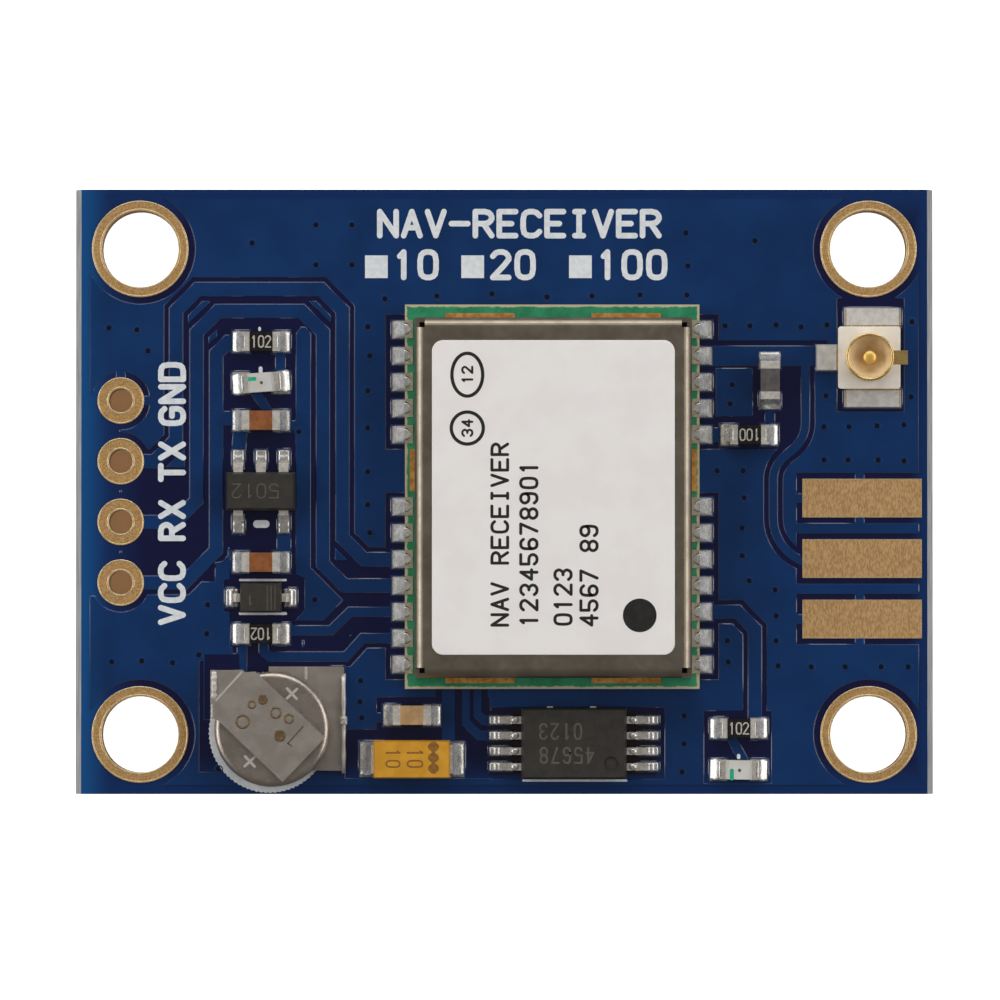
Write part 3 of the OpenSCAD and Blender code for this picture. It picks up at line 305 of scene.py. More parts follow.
@dataclass(frozen=True)
class MaskFinish(Finish):
    """Glossy lacquer: dark over bare laminate, bluer over copper, and paler where light comes in at the sides."""

    film: Colour = (14, 18, 58)
    margin: Colour = (11, 44, 94)
    left_margin: Place = (-14.9, -17.0)
    right_margin: Place = (16.9, 17.6)
    long_margin: Place = (10.8, 12.5)
    rim: Colour = (17, 78, 136)
    left_rim: Place = (-16.4, -17.8)

    def paint(self, shader: Shader) -> None:
        """Colours the lacquer by the level that it lies at and its distance from the board's sides.

        Args:
            shader: the material's nodes.
        """
        level = shader.sum("GREATER_THAN", shader.axis(2), (FILM_TOP + POUR_TOP) / 2)
        across, along = shader.axis(0), shader.sum("ABSOLUTE", shader.axis(1))
        ends = shader.sum("MAXIMUM", shader.fade(across, *self.left_margin), shader.fade(across, *self.right_margin))
        margin = shader.sum("MAXIMUM", ends, shader.fade(along, *self.long_margin))
        side = shader.fade(across, *self.left_rim)
        clouds = shader.fade(shader.noise(self.patch_size), 0.3, 0.7)
        pour = shader.mix(clouds, self.colour, self.patch)
        pour = shader.mix(shader.sum("MULTIPLY", side, 0.3), pour, self.rim)
        film = shader.mix(margin, self.film, self.margin)
        film = shader.mix(side, film, self.rim)
        shader.set(Base_Color=shader.mix(level, film, pour))


@dataclass(frozen=True)
class CarrierFinish(Finish):
    """Green lacquer that ends in a cream line of bare laminate at the carrier's outline."""

    bare: Colour = (196, 186, 150)
    node: str = "receiver_carrier"
    line: float = 0.13

    def paint(self, shader: Shader) -> None:
        """Colours the carrier by the distance from its outline.

        Args:
            shader: the material's nodes.
        """
        low, high = box_mm(self.node)
        middle, half = (low + high) / 2, (high - low) / 2
        reach = [shader.sum("SUBTRACT", shader.sum("ABSOLUTE", shader.axis(i, middle[i])), half[i]) for i in (0, 1)]
        wave = shader.fade(shader.noise(0.25), 0.3, 0.7, -0.03, 0.03)
        outline = shader.sum("ADD", shader.sum("MAXIMUM", *reach), wave)
        clouds = shader.fade(shader.noise(self.patch_size), 0.35, 0.65)
        lacquer = shader.mix(clouds, self.colour, self.patch)
        shader.set(Base_Color=shader.mix(shader.fade(outline, -self.line, -self.line / 2), lacquer, self.bare))


MASK = MaskFinish("blue_lacquer", (11, 46, 92), (13, 53, 104), patch_size=2.5, grain_size=0.5,
                  gloss=(0.16, 0.24), depth=0.0015)
LACQUER_EDGE = MaskFinish("lacquer_edge", (12, 48, 96), (16, 56, 108), patch_size=2.5, grain_size=0.5,
                          gloss=(0.1, 0.16), depth=0.001, coat=1.0)
LAMINATE = Finish("cut_laminate", (190, 192, 192), (162, 165, 168), 0.25, 0.06, (8, 8, 0.5), (0.5, 0.7), 0.01)
TINNED = Finish("tinned_copper", (206, 200, 190), (182, 176, 164), 0.15, 0.06, gloss=(0.32, 0.5), depth=0.006,
                metal=0.5)
GOLD = Finish("gold_plate", (226, 184, 124), (186, 142, 86), 0.06, 0.03, gloss=(0.36, 0.58), depth=0.006, metal=0.6)
# Painted highlight: a paler, glossier gold for the rounded plating edges, standing for light caught on them.
GOLD_HIGHLIGHT = Finish("gold_painted_highlight", (246, 220, 176), (230, 198, 146), 0.2, 0.05, gloss=(0.2, 0.32), depth=0.002, metal=0.6)
BRUSHED_GOLD = Finish("brushed_gold_plate", (228, 186, 130), (192, 148, 98), 0.06, 0.03, (1, 3, 1), (0.38, 0.55),
                      0.005, 0.55)
SOCKET_GOLD = Finish("socket_gold", (240, 208, 142), (222, 186, 116), 0.5, 0.08, gloss=(0.2, 0.3), metal=0.75)
PIN_GOLD = Finish("pin_gold", (250, 208, 116), (240, 190, 92), 0.2, 0.06, gloss=(0.36, 0.46), depth=0.001, metal=0.6)
# Painted reflection: the cream moulding inside the collar, tinted tan for the gold collar reflected on it.
FLOOR_GOLD_REFLECTION = Finish("socket_floor", (242, 218, 176), (234, 206, 160), 0.3, 0.06, gloss=(0.3, 0.45), depth=0.002)
STRIP_GOLD = Finish("strip_gold", (238, 182, 100), (206, 136, 60), 0.3, 0.05, gloss=(0.28, 0.5), depth=0.006, metal=0.6)
SOLDER = Finish("reflowed_solder", (228, 226, 222), (200, 197, 192), 0.3, 0.12, gloss=(0.18, 0.34), depth=0.007,
                metal=0.65)
CONTACT_SOLDER = Finish("contact_solder", (232, 230, 225), (202, 199, 194), 0.3, 0.12, gloss=(0.2, 0.36), depth=0.007,
                        metal=0.55)
MATTE_SOLDER = Finish("matte_solder", (226, 222, 216), (208, 204, 197), 0.3, 0.06, gloss=(0.4, 0.55), depth=0.005,
                      metal=0.35)
FLUX = Finish("flux_film", (34, 22, 20), (24, 18, 24), 0.3, 0.08, gloss=(0.18, 0.32), depth=0.003)
TIN = Finish("tin_plate", (228, 223, 214), (204, 198, 188), 0.18, 0.05, gloss=(0.32, 0.5), depth=0.006, metal=0.5)
CASTELLATION = Finish("contact_plate", (206, 196, 172), (176, 172, 152), 0.2, 0.06, gloss=(0.3, 0.5), metal=0.55)
CARRIER = CarrierFinish("green_lacquer", (40, 128, 88), (52, 146, 104), 0.7, 0.2, gloss=(0.25, 0.4))
CAN = Finish("nickel_silver", (166, 155, 138), (152, 141, 125), 1.2, 0.3, gloss=(0.36, 0.42), depth=0.001, metal=1.0)
LABEL = Finish("label_film", (248, 244, 241), (244, 239, 236), 1.6, 0.08, gloss=(0.42, 0.55), depth=0.0008)
PRINT = Finish("black_print", (24, 22, 22), (34, 32, 31), 0.3, 0.04, gloss=(0.45, 0.6), depth=0.001)
SILK = Finish("white_legend", (230, 233, 235), (216, 221, 225), 0.22, 0.05, gloss=(0.5, 0.7), depth=0.004)
MOULDING = Finish("dark_moulding", (42, 38, 32), (50, 46, 40), 0.4, 0.035, gloss=(0.48, 0.62), depth=0.005)
MARKING = Finish("faint_marking", (92, 88, 81), (80, 76, 70), 0.2, 0.04, gloss=(0.5, 0.65))
PALE_MARKING = Finish("pale_marking", (196, 190, 178), (170, 164, 152), 0.15, 0.04, gloss=(0.45, 0.6))
GLAZE = Finish("black_glaze", (20, 19, 18), (32, 30, 28), 0.3, 0.06, gloss=(0.2, 0.36), depth=0.004)
CERAMIC_BROWN = Finish("brown_ceramic", (150, 92, 52), (132, 78, 42), 0.25, 0.06, gloss=(0.3, 0.45), depth=0.004)
CERAMIC_TAN = Finish("tan_ceramic", (190, 156, 112), (172, 138, 96), 0.25, 0.06, gloss=(0.3, 0.45), depth=0.004)
CERAMIC_GREY = Finish("grey_ceramic", (98, 94, 92), (82, 79, 78), 0.25, 0.06, gloss=(0.3, 0.45), depth=0.004)
LED_BASE = Finish("white_base", (226, 226, 218), (206, 206, 198), 0.3, 0.06, gloss=(0.4, 0.6))
LENS = Finish("clear_resin", (244, 242, 236), (236, 232, 224), 0.5, 0.12, gloss=(0.14, 0.26), clear=0.3)
GREEN_MARK = Finish("green_mark", (40, 186, 140), (30, 160, 118), 0.1, 0.04, gloss=(0.3, 0.5))
TANTALUM = Finish("yellow_moulding", (214, 156, 44), (202, 143, 36), 0.6, 0.05, gloss=(0.34, 0.5), depth=0.004)
BROWN_MARK = Finish("brown_mark", (150, 104, 40), (128, 86, 34), 0.12, 0.04, gloss=(0.4, 0.6))
STEEL = Finish("stainless_sheet", (192, 184, 175), (178, 170, 161), 0.4, 0.025, (2, 2, 1), (0.36, 0.5), 0.002, 0.8)
CASE_STEEL = Finish("cell_case_steel", (190, 178, 166), (172, 162, 152), 0.7, 0.06, gloss=(0.28, 0.42), metal=0.9)
HEAT = Finish("heat_tint", (112, 88, 62), (136, 116, 92), 0.07, 0.03, gloss=(0.35, 0.55), depth=0.006, metal=0.6)
# Bright steel for the stamped pluses, and for the painted highlights on the strap's fold and the base tab.
STAMP_AND_HIGHLIGHT = Finish("etched_mark_and_painted_highlight", (212, 206, 198), (196, 190, 182), 0.1, 0.04, gloss=(0.4, 0.6), metal=0.5)
GASKET = Finish("black_seal", (18, 18, 18), (28, 28, 28), 0.3, 0.05, gloss=(0.5, 0.7))
INSULATOR = Finish("cream_moulding", (246, 240, 230), (240, 232, 220), 0.5, 0.06, gloss=(0.35, 0.5), depth=0.003)
# Painted shade: near-black for the shade inside each via's hole, which the lacquer solid does not open.
VIA_SHADE = Finish("via_hollow_painted_shade", (5, 7, 20), (10, 12, 34), 0.05, 0.03, gloss=(0.12, 0.25), depth=0.002)
SEALED = Finish("sealed_part", (70, 70, 70), (90, 90, 88), 0.4, 0.05, gloss=(0.4, 0.6))


def rim(grid: np.ndarray) -> np.ndarray:
    """Points round a grid's edge, in order."""
    return np.concatenate([grid[0, :-1], grid[:-1, -1], grid[-1, :0:-1], grid[:0:-1, 0]])


class Form:
    """Gathers surfaces, each a grid of points over two parameters, into one piece."""

    def __init__(self) -> None:
        """Starts with no surface."""
        self.points: list[np.ndarray] = []
        self.faces: list[np.ndarray] = []
        self.finish: list[np.ndarray] = []
        self.count = 0

    def quads(self, points: np.ndarray, faces: np.ndarray, finish: int = 0) -> None:
        """Adds points and the faces between them.

        Args:
            points: places in millimetres, one a row.
            faces: four indices a row into those points.
            finish: number of the faces' finish.
        """
        self.points.append(points)
        self.faces.append(faces + self.count)
        self.finish.append(np.full(len(faces), finish))
        self.count += len(points)

    def grid(self, points: np.ndarray, wrap: bool = False, finish: int = 0) -> None:
        """Adds a grid of points as quads.

        Args:
            points: rows, columns and three coordinates.
            wrap: joins the last column to the first.
            finish: number of the faces' finish.
        """
        rows, columns = points.shape[:2]
        index = np.arange(rows * columns).reshape(rows, columns)
        index = np.concatenate([index, index[:, :1]], axis=1) if wrap else index
        faces = np.stack([index[:-1, :-1], index[:-1, 1:], index[1:, 1:], index[1:, :-1]], axis=-1)
        self.quads(points.reshape(-1, 3), faces.reshape(-1, 4), finish)

    def slab(self, top: np.ndarray, bottom: np.ndarray, finish: int = 0) -> None:
        """Adds a closed solid: two grids of the same shape and the wall between their edges.

        Args:
            top: the upper grid.
            bottom: the lower grid.
            finish: number of the faces' finish.
        """
        self.grid(top, finish=finish)
        self.grid(bottom[:, ::-1], finish=finish)
        self.grid(np.stack([rim(bottom), rim(top)]), wrap=True, finish=finish)

    def sheet(self, middle: np.ndarray, outline: np.ndarray, section: tuple[Place, ...], finish: int = 0) -> None:
        """Adds a thin plate: a section of shares and heights carried round an outline.

        Args:
            middle: the plate's middle.
            outline: places round its edge, from the middle, one a row.
            section: share of the way out to the outline, and height, from the middle and back to it.
            finish: number of the faces' finish.
        """
        share, height = np.array(section, float).T
        flat = middle + share[:, None, None] * outline
        rise = np.broadcast_to(height[:, None, None], (*flat.shape[:2], 1))
        self.grid(np.concatenate([flat, rise], axis=-1), wrap=True, finish=finish)

    def turned(self, centre: Place, profile: np.ndarray, sides: int = 24, finish: int = 0) -> None:
        """Adds a profile of radius and height carried round an upright axis.

        Args:
            centre: place of the axis.
            profile: radius and height, one pair a row, from the axis and back to it.
            sides: steps round the axis.
            finish: number of the faces' finish.
        """
        turn = np.linspace(0, 2 * np.pi, sides, endpoint=False)
        radius, height = profile[:, :1], profile[:, 1:]
        points = np.stack([centre[0] + radius * np.cos(turn), centre[1] + radius * np.sin(turn),
                           height + 0 * turn], axis=-1)
        self.grid(points, wrap=True, finish=finish)

    def piece(self, name: str, finishes: list[Finish], slot: str, smooth: float = 0.0,
              replaces: tuple[str, ...] = ()) -> bpy.types.Object:
        """Makes the gathered surfaces one object that rides on the board.

        Args:
            name: the object's name.
            finishes: its finishes, by number.
            slot: the record's material slot; not used.
            smooth: angle in degrees under which edges are shaded round.
            replaces: the solids that it stands for.

        Returns:
            The object.
        """
        mesh = bpy.data.meshes.new(name)
        mesh.from_pydata(np.concatenate(self.points) * MM, [], np.concatenate(self.faces).tolist())
        mesh.polygons.foreach_set("material_index", np.concatenate(self.finish).astype(np.int32))
        for finish in finishes:
            mesh.materials.append(finish.material())
        work = bmesh.new()
        work.from_mesh(mesh)
        bmesh.ops.remove_doubles(work, verts=work.verts, dist=2e-8)
        bmesh.ops.dissolve_degenerate(work, edges=work.edges, dist=2e-8)
        bmesh.ops.recalc_face_normals(work, faces=work.faces)
        work.to_mesh(mesh)
        work.free()
        if smooth:
            mesh.shade_smooth()
            mesh.set_sharp_from_angle(angle=math.radians(smooth))
        made = bpy.data.objects.new(name, mesh)
        bpy.context.scene.collection.objects.link(made)
        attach(made, BODY)
        if replaces:
            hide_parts(*replaces)
        LOG.info("%s: %d faces", name, len(mesh.polygons))
        return made


def dress(finish: Finish, *nodes: str) -> None:
    """Gives solids a finish.

    Args:
        finish: the finish.
        nodes: names of the solids.
    """
    for node in nodes:
        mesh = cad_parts[node].data
        mesh.materials.clear()
        mesh.materials.append(finish.material())
        LOG.info("%s: %s", node, finish.name)


def ribbon(path: np.ndarray, width: float) -> tuple[np.ndarray, np.ndarray]:
    """Edges of a line of even width, with half-round ends where the line is open.

    Each point moves half the width along the mitre of its two neighbours' normals; past each end the half width falls
    as the cosine of an angle while the point moves on by its sine.

    Args:
        path: places along the line, one a row.
        width: the line's width.

    Returns:
        The left and the right edge, of equal length.
    """
    way = np.diff(path, axis=0)
    way = way / np.linalg.norm(way, axis=1, keepdims=True)
    closed = np.allclose(path[0], path[-1])
    before = np.vstack([way[-1:] if closed else way[:1], way])
    after = np.vstack([way, way[:1] if closed else way[-1:]])
    normal = np.stack([-(before + after)[:, 1], (before + after)[:, 0]], axis=1)
    normal = normal / np.maximum(1 + np.sum(before * after, axis=1, keepdims=True), 0.4)
    half = width / 2
    if closed:
        return path + half * normal, path - half * normal
    turn = np.linspace(0, 1.45, 6)[1:, None]
    head = path[:1] - half * np.sin(turn[::-1]) * way[:1]
    tail = path[-1:] + half * np.sin(turn) * way[-1:]
    centre = np.vstack([head, path, tail])
    side = np.vstack([np.cos(turn[::-1]) * normal[:1], normal, np.cos(turn) * normal[-1:]]) * half
    return centre + side, centre - side


def lifted(points: np.ndarray, height: float) -> np.ndarray:
    """Flat points set at a height."""
    return np.concatenate([points, np.full((*points.shape[:-1], 1), height)], axis=-1)


def line_of(form: Form, path: np.ndarray, width: float, low: float, high: float, finish: int = 0) -> None:
    """Adds a printed line along a path, as a ring where the path is closed.

    Args:
        form: what the line is added to.
        path: places along the line, one a row.
        width: the line's width.
        low: height of its underside.
        high: height of its upper face.
        finish: number of its finish.
    """
    path = np.asarray(path, float)
    left, right = ribbon(path, width)
    if np.allclose(path[0], path[-1]):
        sides = [lifted(left, high), lifted(right, high), lifted(right, low), lifted(left, low)]
        form.grid(np.stack(sides, axis=1), wrap=True, finish=finish)
    else:
        edges = np.stack([left, right], axis=1)
        form.slab(lifted(edges, high), lifted(edges, low), finish)


def rounded(path: np.ndarray, times: int = 2) -> np.ndarray:
    """Cuts a path's corners: each round puts points at a quarter and three quarters of every leg.

    Args:
        path: places along the line, one a row.
        times: how many rounds.

    Returns:
        The rounded path.
    """
    for _ in range(times):
        quarter = 0.75 * path[:-1] + 0.25 * path[1:]
        three = 0.25 * path[:-1] + 0.75 * path[1:]
        inner = np.stack([quarter, three], axis=1).reshape(-1, 2)
        closed = np.allclose(path[0], path[-1])
        path = np.vstack([inner, inner[:1]]) if closed else np.vstack([path[:1], inner[1:-1], path[-1:]])
    return path


def patch_of(form: Form, low: Place, high: Place, base: float, top: float, finish: int = 0) -> None:
    """Adds a printed rectangle between two heights."""
    grid = np.array([[(low[0], low[1]), (high[0], low[1])], [(low[0], high[1]), (high[0], high[1])]], float)
    form.slab(lifted(grid, top), lifted(grid, base), finish)


# Strokes of the lettering, as places on a grid four steps wide and six high
STROKES = {
    "A": ("00 26", "26 40", "12 32"), "C": ("45 36 16 05 01 10 30 41",), "D": ("00 06", "06 36 45 41 30 00"),
    "E": ("46 06", "06 00", "00 40", "03 33"), "G": ("45 36 16 05 01 10 30 41 43", "43 23"),
    "I": ("10 30", "16 36", "20 26"),
    "N": ("00 06", "06 40", "40 46"), "R": ("00 06", "06 36 45 44 33 03", "23 40"), "T": ("06 46", "26 20"),
    "V": ("06 20", "20 46"), "X": ("00 46", "06 40"), "-": ("03 43",), "+": ("03 43", "21 25"),
    "0": ("10 30 41 45 36 16 05 01 10",), "1": ("15 26", "26 20"), "2": ("05 16 36 45 44 00", "00 40"),
    "3": ("05 16 36 45 44 33 23", "23 33 42 41 30 10 01"), "4": ("30 36", "36 02", "02 42"),
    "5": ("46 06", "06 03", "03 33 42 41 30 10 01"), "6": ("45 36 16 05 01 10 30 41 42 33 13 02",),
    "7": ("06 46", "46 10"), "8": ("16 36 45 44 33 13 04 05 16", "13 33 42 41 30 10 01 02 13"),
    "9": ("01 10 30 41 45 36 16 05 04 13 33 44",),
}


@dataclass(frozen=True)
class Lettering:
    """One line of plain lettering drawn with a round pen."""

    text: str
    start: Place
    width: float
    height: float
    pitch: float
    pen: float
    reading: Reading = Reading.ACROSS
    softness: int = 2

    def draw(self, form: Form, low: float, high: float, finish: int = 0) -> None:
        """Adds each stroke of each character as a printed line.

        Args:
            form: what the strokes are added to.
            low: height of their underside.
            high: height of their upper face.
            finish: number of their finish.
        """
        turn = math.radians(self.reading.value)
        across = np.array([math.cos(turn), math.sin(turn)])
        upward = np.array([-math.sin(turn), math.cos(turn)])
        step = np.array([(self.width - self.pen) / 4, (self.height - self.pen) / 6])
        for place, character in enumerate(self.text):
            for order, stroke in enumerate(STROKES.get(character, ())):
                marks = np.array([(int(mark[0]), int(mark[1])) for mark in stroke.split()], float) * step
                marks = marks + self.pen / 2 + np.array([place * self.pitch, 0])
                marks = rounded(marks, self.softness)
                path = np.array(self.start) + marks[:, :1] * across + marks[:, 1:] * upward
                line_of(form, path, self.pen, low, high - order * PRINT_STEP, finish)


@dataclass
class PrintedBoard:
    """Laminate, copper and lacquer, with the legend, the vias and the rounded edges of the lacquer over copper."""

    shoulder: float = 0.04
    shoulder_levels: tuple[Place, ...] = ((0.0, 1.0), (0.22, 0.93), (0.5, 0.62), (0.78, 0.2), (1.0, 0.02))
    level_slack: float = 0.004
    via_r: float = 0.135
    via_lip: tuple[Place, ...] = ((1.55, 0.0), (1.32, 0.008), (1.12, 0.015), (0.94, 0.011), (0.82, 0.002))
    via_hollow_painted_shade: tuple[Place, ...] = ((0.82, 0.002), (0.4, 0.0012), (0.0, 0.001))
    legend_top: float = POUR_TOP + 0.009
    title: Lettering = Lettering("NAV-RECEIVER", (-5.33, 10.6), 0.92, 1.24, 1.0, 0.235, softness=1)
    options: tuple[Lettering, ...] = (
        Lettering("10", (-4.66, 8.85), 0.9, 1.3, 1.02, 0.235, softness=1),
        Lettering("20", (-0.6, 8.85), 0.9, 1.3, 1.02, 0.235, softness=1),
        Lettering("100", (3.87, 8.85), 0.9, 1.3, 1.03, 0.235, softness=1))
    option_boxes: tuple[Place, ...] = ((-5.83, 8.94), (-1.8, 8.94), (2.71, 8.94))
    option_side: float = 0.95
    signals: tuple[Lettering, ...] = (
        Lettering("GND", (-13.32, 2.745), 0.84, 1.17, 0.92, 0.235, Reading.UPWARD, 1),
        Lettering("TX", (-13.32, 0.4), 0.8, 1.17, 0.9, 0.235, Reading.UPWARD, 1),
        Lettering("RX", (-13.32, -2.07), 0.8, 1.17, 0.92, 0.235, Reading.UPWARD, 1),
        Lettering("VCC", (-13.32, -5.58), 0.84, 1.17, 0.92, 0.235, Reading.UPWARD, 1))
    dashes: tuple[tuple[Place, Place, float], ...] = (
        ((-10.35, -1.355), (-9.98, -1.355), 0.32), ((-11.05, -3.7), (-9.15, -3.7), 0.1),
        ((-11.05, -5.1), (-9.15, -5.1), 0.12), ((0.8, -12.08), (5.1, -12.08), 0.1),
        ((-10.2, 5.02), (-10.2, 5.16), 0.16), ((-10.24, 6.78), (-10.24, 6.84), 0.12),
        ((9.8, -11.12), (9.8, -11.04), 0.14))
    corner_holes: tuple[Place, ...] = tuple((x, y) for x in (-15.24, 15.24) for y in (-10.16, 10.16))
    header_holes: tuple[Place, ...] = tuple((-16.05, y) for y in (3.81, 1.27, -1.27, -3.81))
    edge_pads: tuple[Place, ...] = tuple((14.97, y) for y in (-0.27, -2.8, -5.33))
    edge_pad_half: Place = (2.475, 0.785)
    corner_beads: tuple[Place, ...] = ((1.645, 0.045), (1.985, 0.035))
    header_beads: tuple[Place, ...] = ((0.54, 0.04), (0.94, 0.03))
    bead_rise: float = 0.014
    pad_bead: Place = (0.045, 0.006)
    disc: Place = (-9.83, -10.07)
    disc_r: float = 2.52
    disc_teeth: int = 80
    disc_tooth: float = 0.025
    pad_margins: tuple[tuple[Place, Place], ...] = (((-12.6, -7.46), (-11.0, -6.76)), ((-12.6, -9.56), (-12.3, -7.46)))
    margin_top: float = 1.5815
    vias_at: tuple[Place, ...] = (
        (-10.561, 10.402), (-7.883, 11.155), (-7.883, 9.481), (-16.544, 6.845), (-15.372, 6.762), (-14.912, 5.883),
        (-8.594, 2.494), (-6.377, 11.155), (7.598, 10.820), (-6.377, 9.481), (7.682, 9.439), (-4.996, 8.059),
        (-2.820, 8.184), (-0.519, 8.268), (1.782, 8.142), (3.665, 8.184), (5.674, 8.226), (7.640, 8.226),
        (-5.707, 6.887), (10.485, 10.485), (9.230, 6.929), (10.276, 6.929), (11.364, 6.971), (12.410, 6.887),
        (13.498, 6.971), (9.523, 4.460), (9.439, 3.665), (13.456, 4.000), (17.013, 3.958), (17.054, 7.096),
        (13.372, 2.703), (14.418, 2.703), (15.590, 2.745), (16.720, 2.787), (13.372, 1.322), (14.377, 1.322),
        (15.632, 1.322), (16.720, 1.280), (8.895, 0.862), (9.983, 0.862), (10.025, -0.268), (9.941, -1.523),
        (9.941, -2.695), (10.234, -3.741), (11.322, -4.117), (11.364, -5.205), (11.364, -6.251), (11.448, -7.297),
        (9.314, -6.251), (9.356, -7.130), (12.828, -7.339), (14.251, -7.339), (15.757, -7.339), (16.887, -7.339),
        (7.515, -9.389), (7.515, -10.561), (7.431, -11.732), (-16.418, -7.130), (-15.163, -7.088), (-13.866, -7.172),
        (-12.778, -6.837), (-12.402, -4.745), (-12.444, -5.958), (-6.000, -7.925), (-6.042, -8.803), (-5.958, -9.473),
        (-11.941, -11.607), (-7.925, -4.536), (-5.623, 5.674), (-5.707, 4.209), (-5.707, 2.661), (-5.707, 0.820),
        (-5.707, -0.561), (-5.623, -1.732))

    def build(self) -> None:
        """Dresses the board's solids and adds what is printed or formed on them."""
        dress(LAMINATE, "printed_board")
        dress(TINNED, "copper_top")
        dress(MASK, "solder_mask_top", "solder_mask_bottom")
        dress(GOLD, "mounting_hole_platings", "header_hole_platings")
        dress(BRUSHED_GOLD, "antenna_pads_top", "antenna_pads_bottom")
        self.shoulders()
        self.beads()
        self.vias()
        self.legend()
        self.covered_pad()

    def shoulders(self) -> None:
        """Rounds the lacquer down from copper to laminate.

        A strip for each upright wall of the lacquer runs from the wall's top to its foot, through the shares of the
        way out and of the height in shoulder_levels. The foot is set out by the shoulder's width, along the mitre of
        the two walls that meet there.
        """
        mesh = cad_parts["solder_mask_top"].data
        mesh.calc_loop_triangles()
        points = np.empty(len(mesh.vertices) * 3, np.float32)
        mesh.vertices.foreach_get("co", points)
        points = points.reshape(-1, 3).astype(float) / MM
        corners = np.empty(len(mesh.loop_triangles) * 3, np.int32)
        mesh.loop_triangles.foreach_get("vertices", corners)
        sides = points[corners.reshape(-1, 3)]
        normal = np.cross(sides[:, 1] - sides[:, 0], sides[:, 2] - sides[:, 0])
        normal = normal / np.maximum(np.linalg.norm(normal, axis=1, keepdims=True), 1e-12)
        height = sides[:, :, 2]
        wall = (np.abs(normal[:, 2]) < 0.01) & (np.abs(height.min(1) - FILM_TOP) < self.level_slack)
        wall &= np.abs(height.max(1) - POUR_TOP) < self.level_slack
        foot = np.abs(height - FILM_TOP) < self.level_slack
        wall &= foot.sum(1) == 2
        sides, normal, foot = sides[wall], normal[wall, :2], foot[wall]
        order = np.argsort(~foot, axis=1, kind="stable")
        ends = np.take_along_axis(sides, order[:, :2, None], axis=1)[:, :, :2]
        flat = ends.reshape(-1, 2)
        _, spot = np.unique(np.round(flat, 3), axis=0, return_inverse=True)
        spot = spot.reshape(-1)
        total = np.zeros((spot.max() + 1, 2))
        count = np.zeros(spot.max() + 1)
        np.add.at(total, spot, np.repeat(normal, 2, axis=0))
        np.add.at(count, spot, 1)
        mean = total / count[:, None]
        mitre = mean / np.maximum(np.sum(mean ** 2, axis=1, keepdims=True), 0.35)
        out = mitre[spot].reshape(-1, 2, 2) * self.shoulder
        rows = [lifted(ends + share * out, FILM_TOP + rise * (POUR_TOP - FILM_TOP))
                for share, rise in self.shoulder_levels]
        form = Form()
        for upper, lower in zip(rows[:-1], rows[1:]):
            block = np.stack([upper[:, 0], upper[:, 1], lower[:, 1], lower[:, 0]], axis=1)
            index = np.arange(len(block) * 4).reshape(-1, 4)
            form.quads(block.reshape(-1, 3), index)
        form.piece("lacquer_edges", [LACQUER_EDGE], "mask", 60)

    def beads(self) -> None:
        """Rounds the plating's edges: a low ellipse carried round each rim and bore, and a line round each edge pad."""
        angle = np.linspace(0, 2 * np.pi, 17)
        form = Form()
        for places, rings in ((self.corner_holes, self.corner_beads), (self.header_holes, self.header_beads)):
            for centre in places:
                for radius, half in rings:
                    profile = np.stack([radius + half * np.cos(angle), POUR_TOP + self.bead_rise * np.sin(angle)],
                                       axis=1)
                    form.turned(centre, profile, 72)
        outline = np.array([(-1, -0.93), (-0.98, -1), (0.98, -1), (1, -0.93), (1, 0.93), (0.98, 1), (-0.98, 1),
                            (-1, 0.93), (-1, -0.93)]) * self.edge_pad_half
        pad = float(box_mm("antenna_pads_top")[1][2])
        for centre in self.edge_pads:
            line_of(form, outline + centre, self.pad_bead[0], pad - 0.01, pad + self.pad_bead[1])
        # The beads take the paler gold: a painted highlight on the plating's edges.
        form.piece("plating_beads", [GOLD_HIGHLIGHT], "gold", 60)

    def vias(self) -> None:
        """Adds each via as a shallow crater round an upright axis: a low lip about a hollow painted dark as shade."""
        lip = np.array(self.via_lip) * np.array([self.via_r, 1])
        hollow = np.array(self.via_hollow_painted_shade) * np.array([self.via_r, 1])
        form = Form()
        for centre in self.vias_at:
            form.turned(centre, lip + np.array([0, POUR_TOP]), 20, 0)
            # Painted shade: the hollow is a near-flat disc in the near-black finish.
            form.turned(centre, hollow + np.array([0, POUR_TOP]), 20, 1)
        form.piece("vias", [MASK, VIA_SHADE], "mask", 80)

    def legend(self) -> None:
        """Prints the white legend: title, options, signal names, outlines and the disc under the cell."""
        form = Form()
        for line in (self.title, *self.options, *self.signals):
            line.draw(form, FILM_TOP, self.legend_top)
        for x, y in self.option_boxes:
            patch_of(form, (x, y), (x + self.option_side, y + self.option_side), FILM_TOP, self.legend_top)
        for start, end, width in self.dashes:
            line_of(form, [start, end], width, FILM_TOP, self.legend_top)
        turn = np.linspace(0, 2 * np.pi, 240, endpoint=False)
        radius = self.disc_r + self.disc_tooth * np.sin(self.disc_teeth * turn)
        outline = np.stack([radius * np.cos(turn), radius * np.sin(turn)], axis=-1)
        form.sheet(np.array(self.disc), outline, ((0, self.legend_top), (0.5, self.legend_top), (1, self.legend_top),
                                                  (1, FILM_TOP), (0, FILM_TOP)))
        form.piece("white_legend", [SILK], "label")


    def covered_pad(self) -> None:
        """Covers the margin of the cell's strap pad with lacquer, as rectangles between two heights."""
        form = Form()
        for low, high in self.pad_margins:
            patch_of(form, low, high, FILM_TOP, self.margin_top)
        form.piece("lacquer_over_pad", [MASK], "mask")


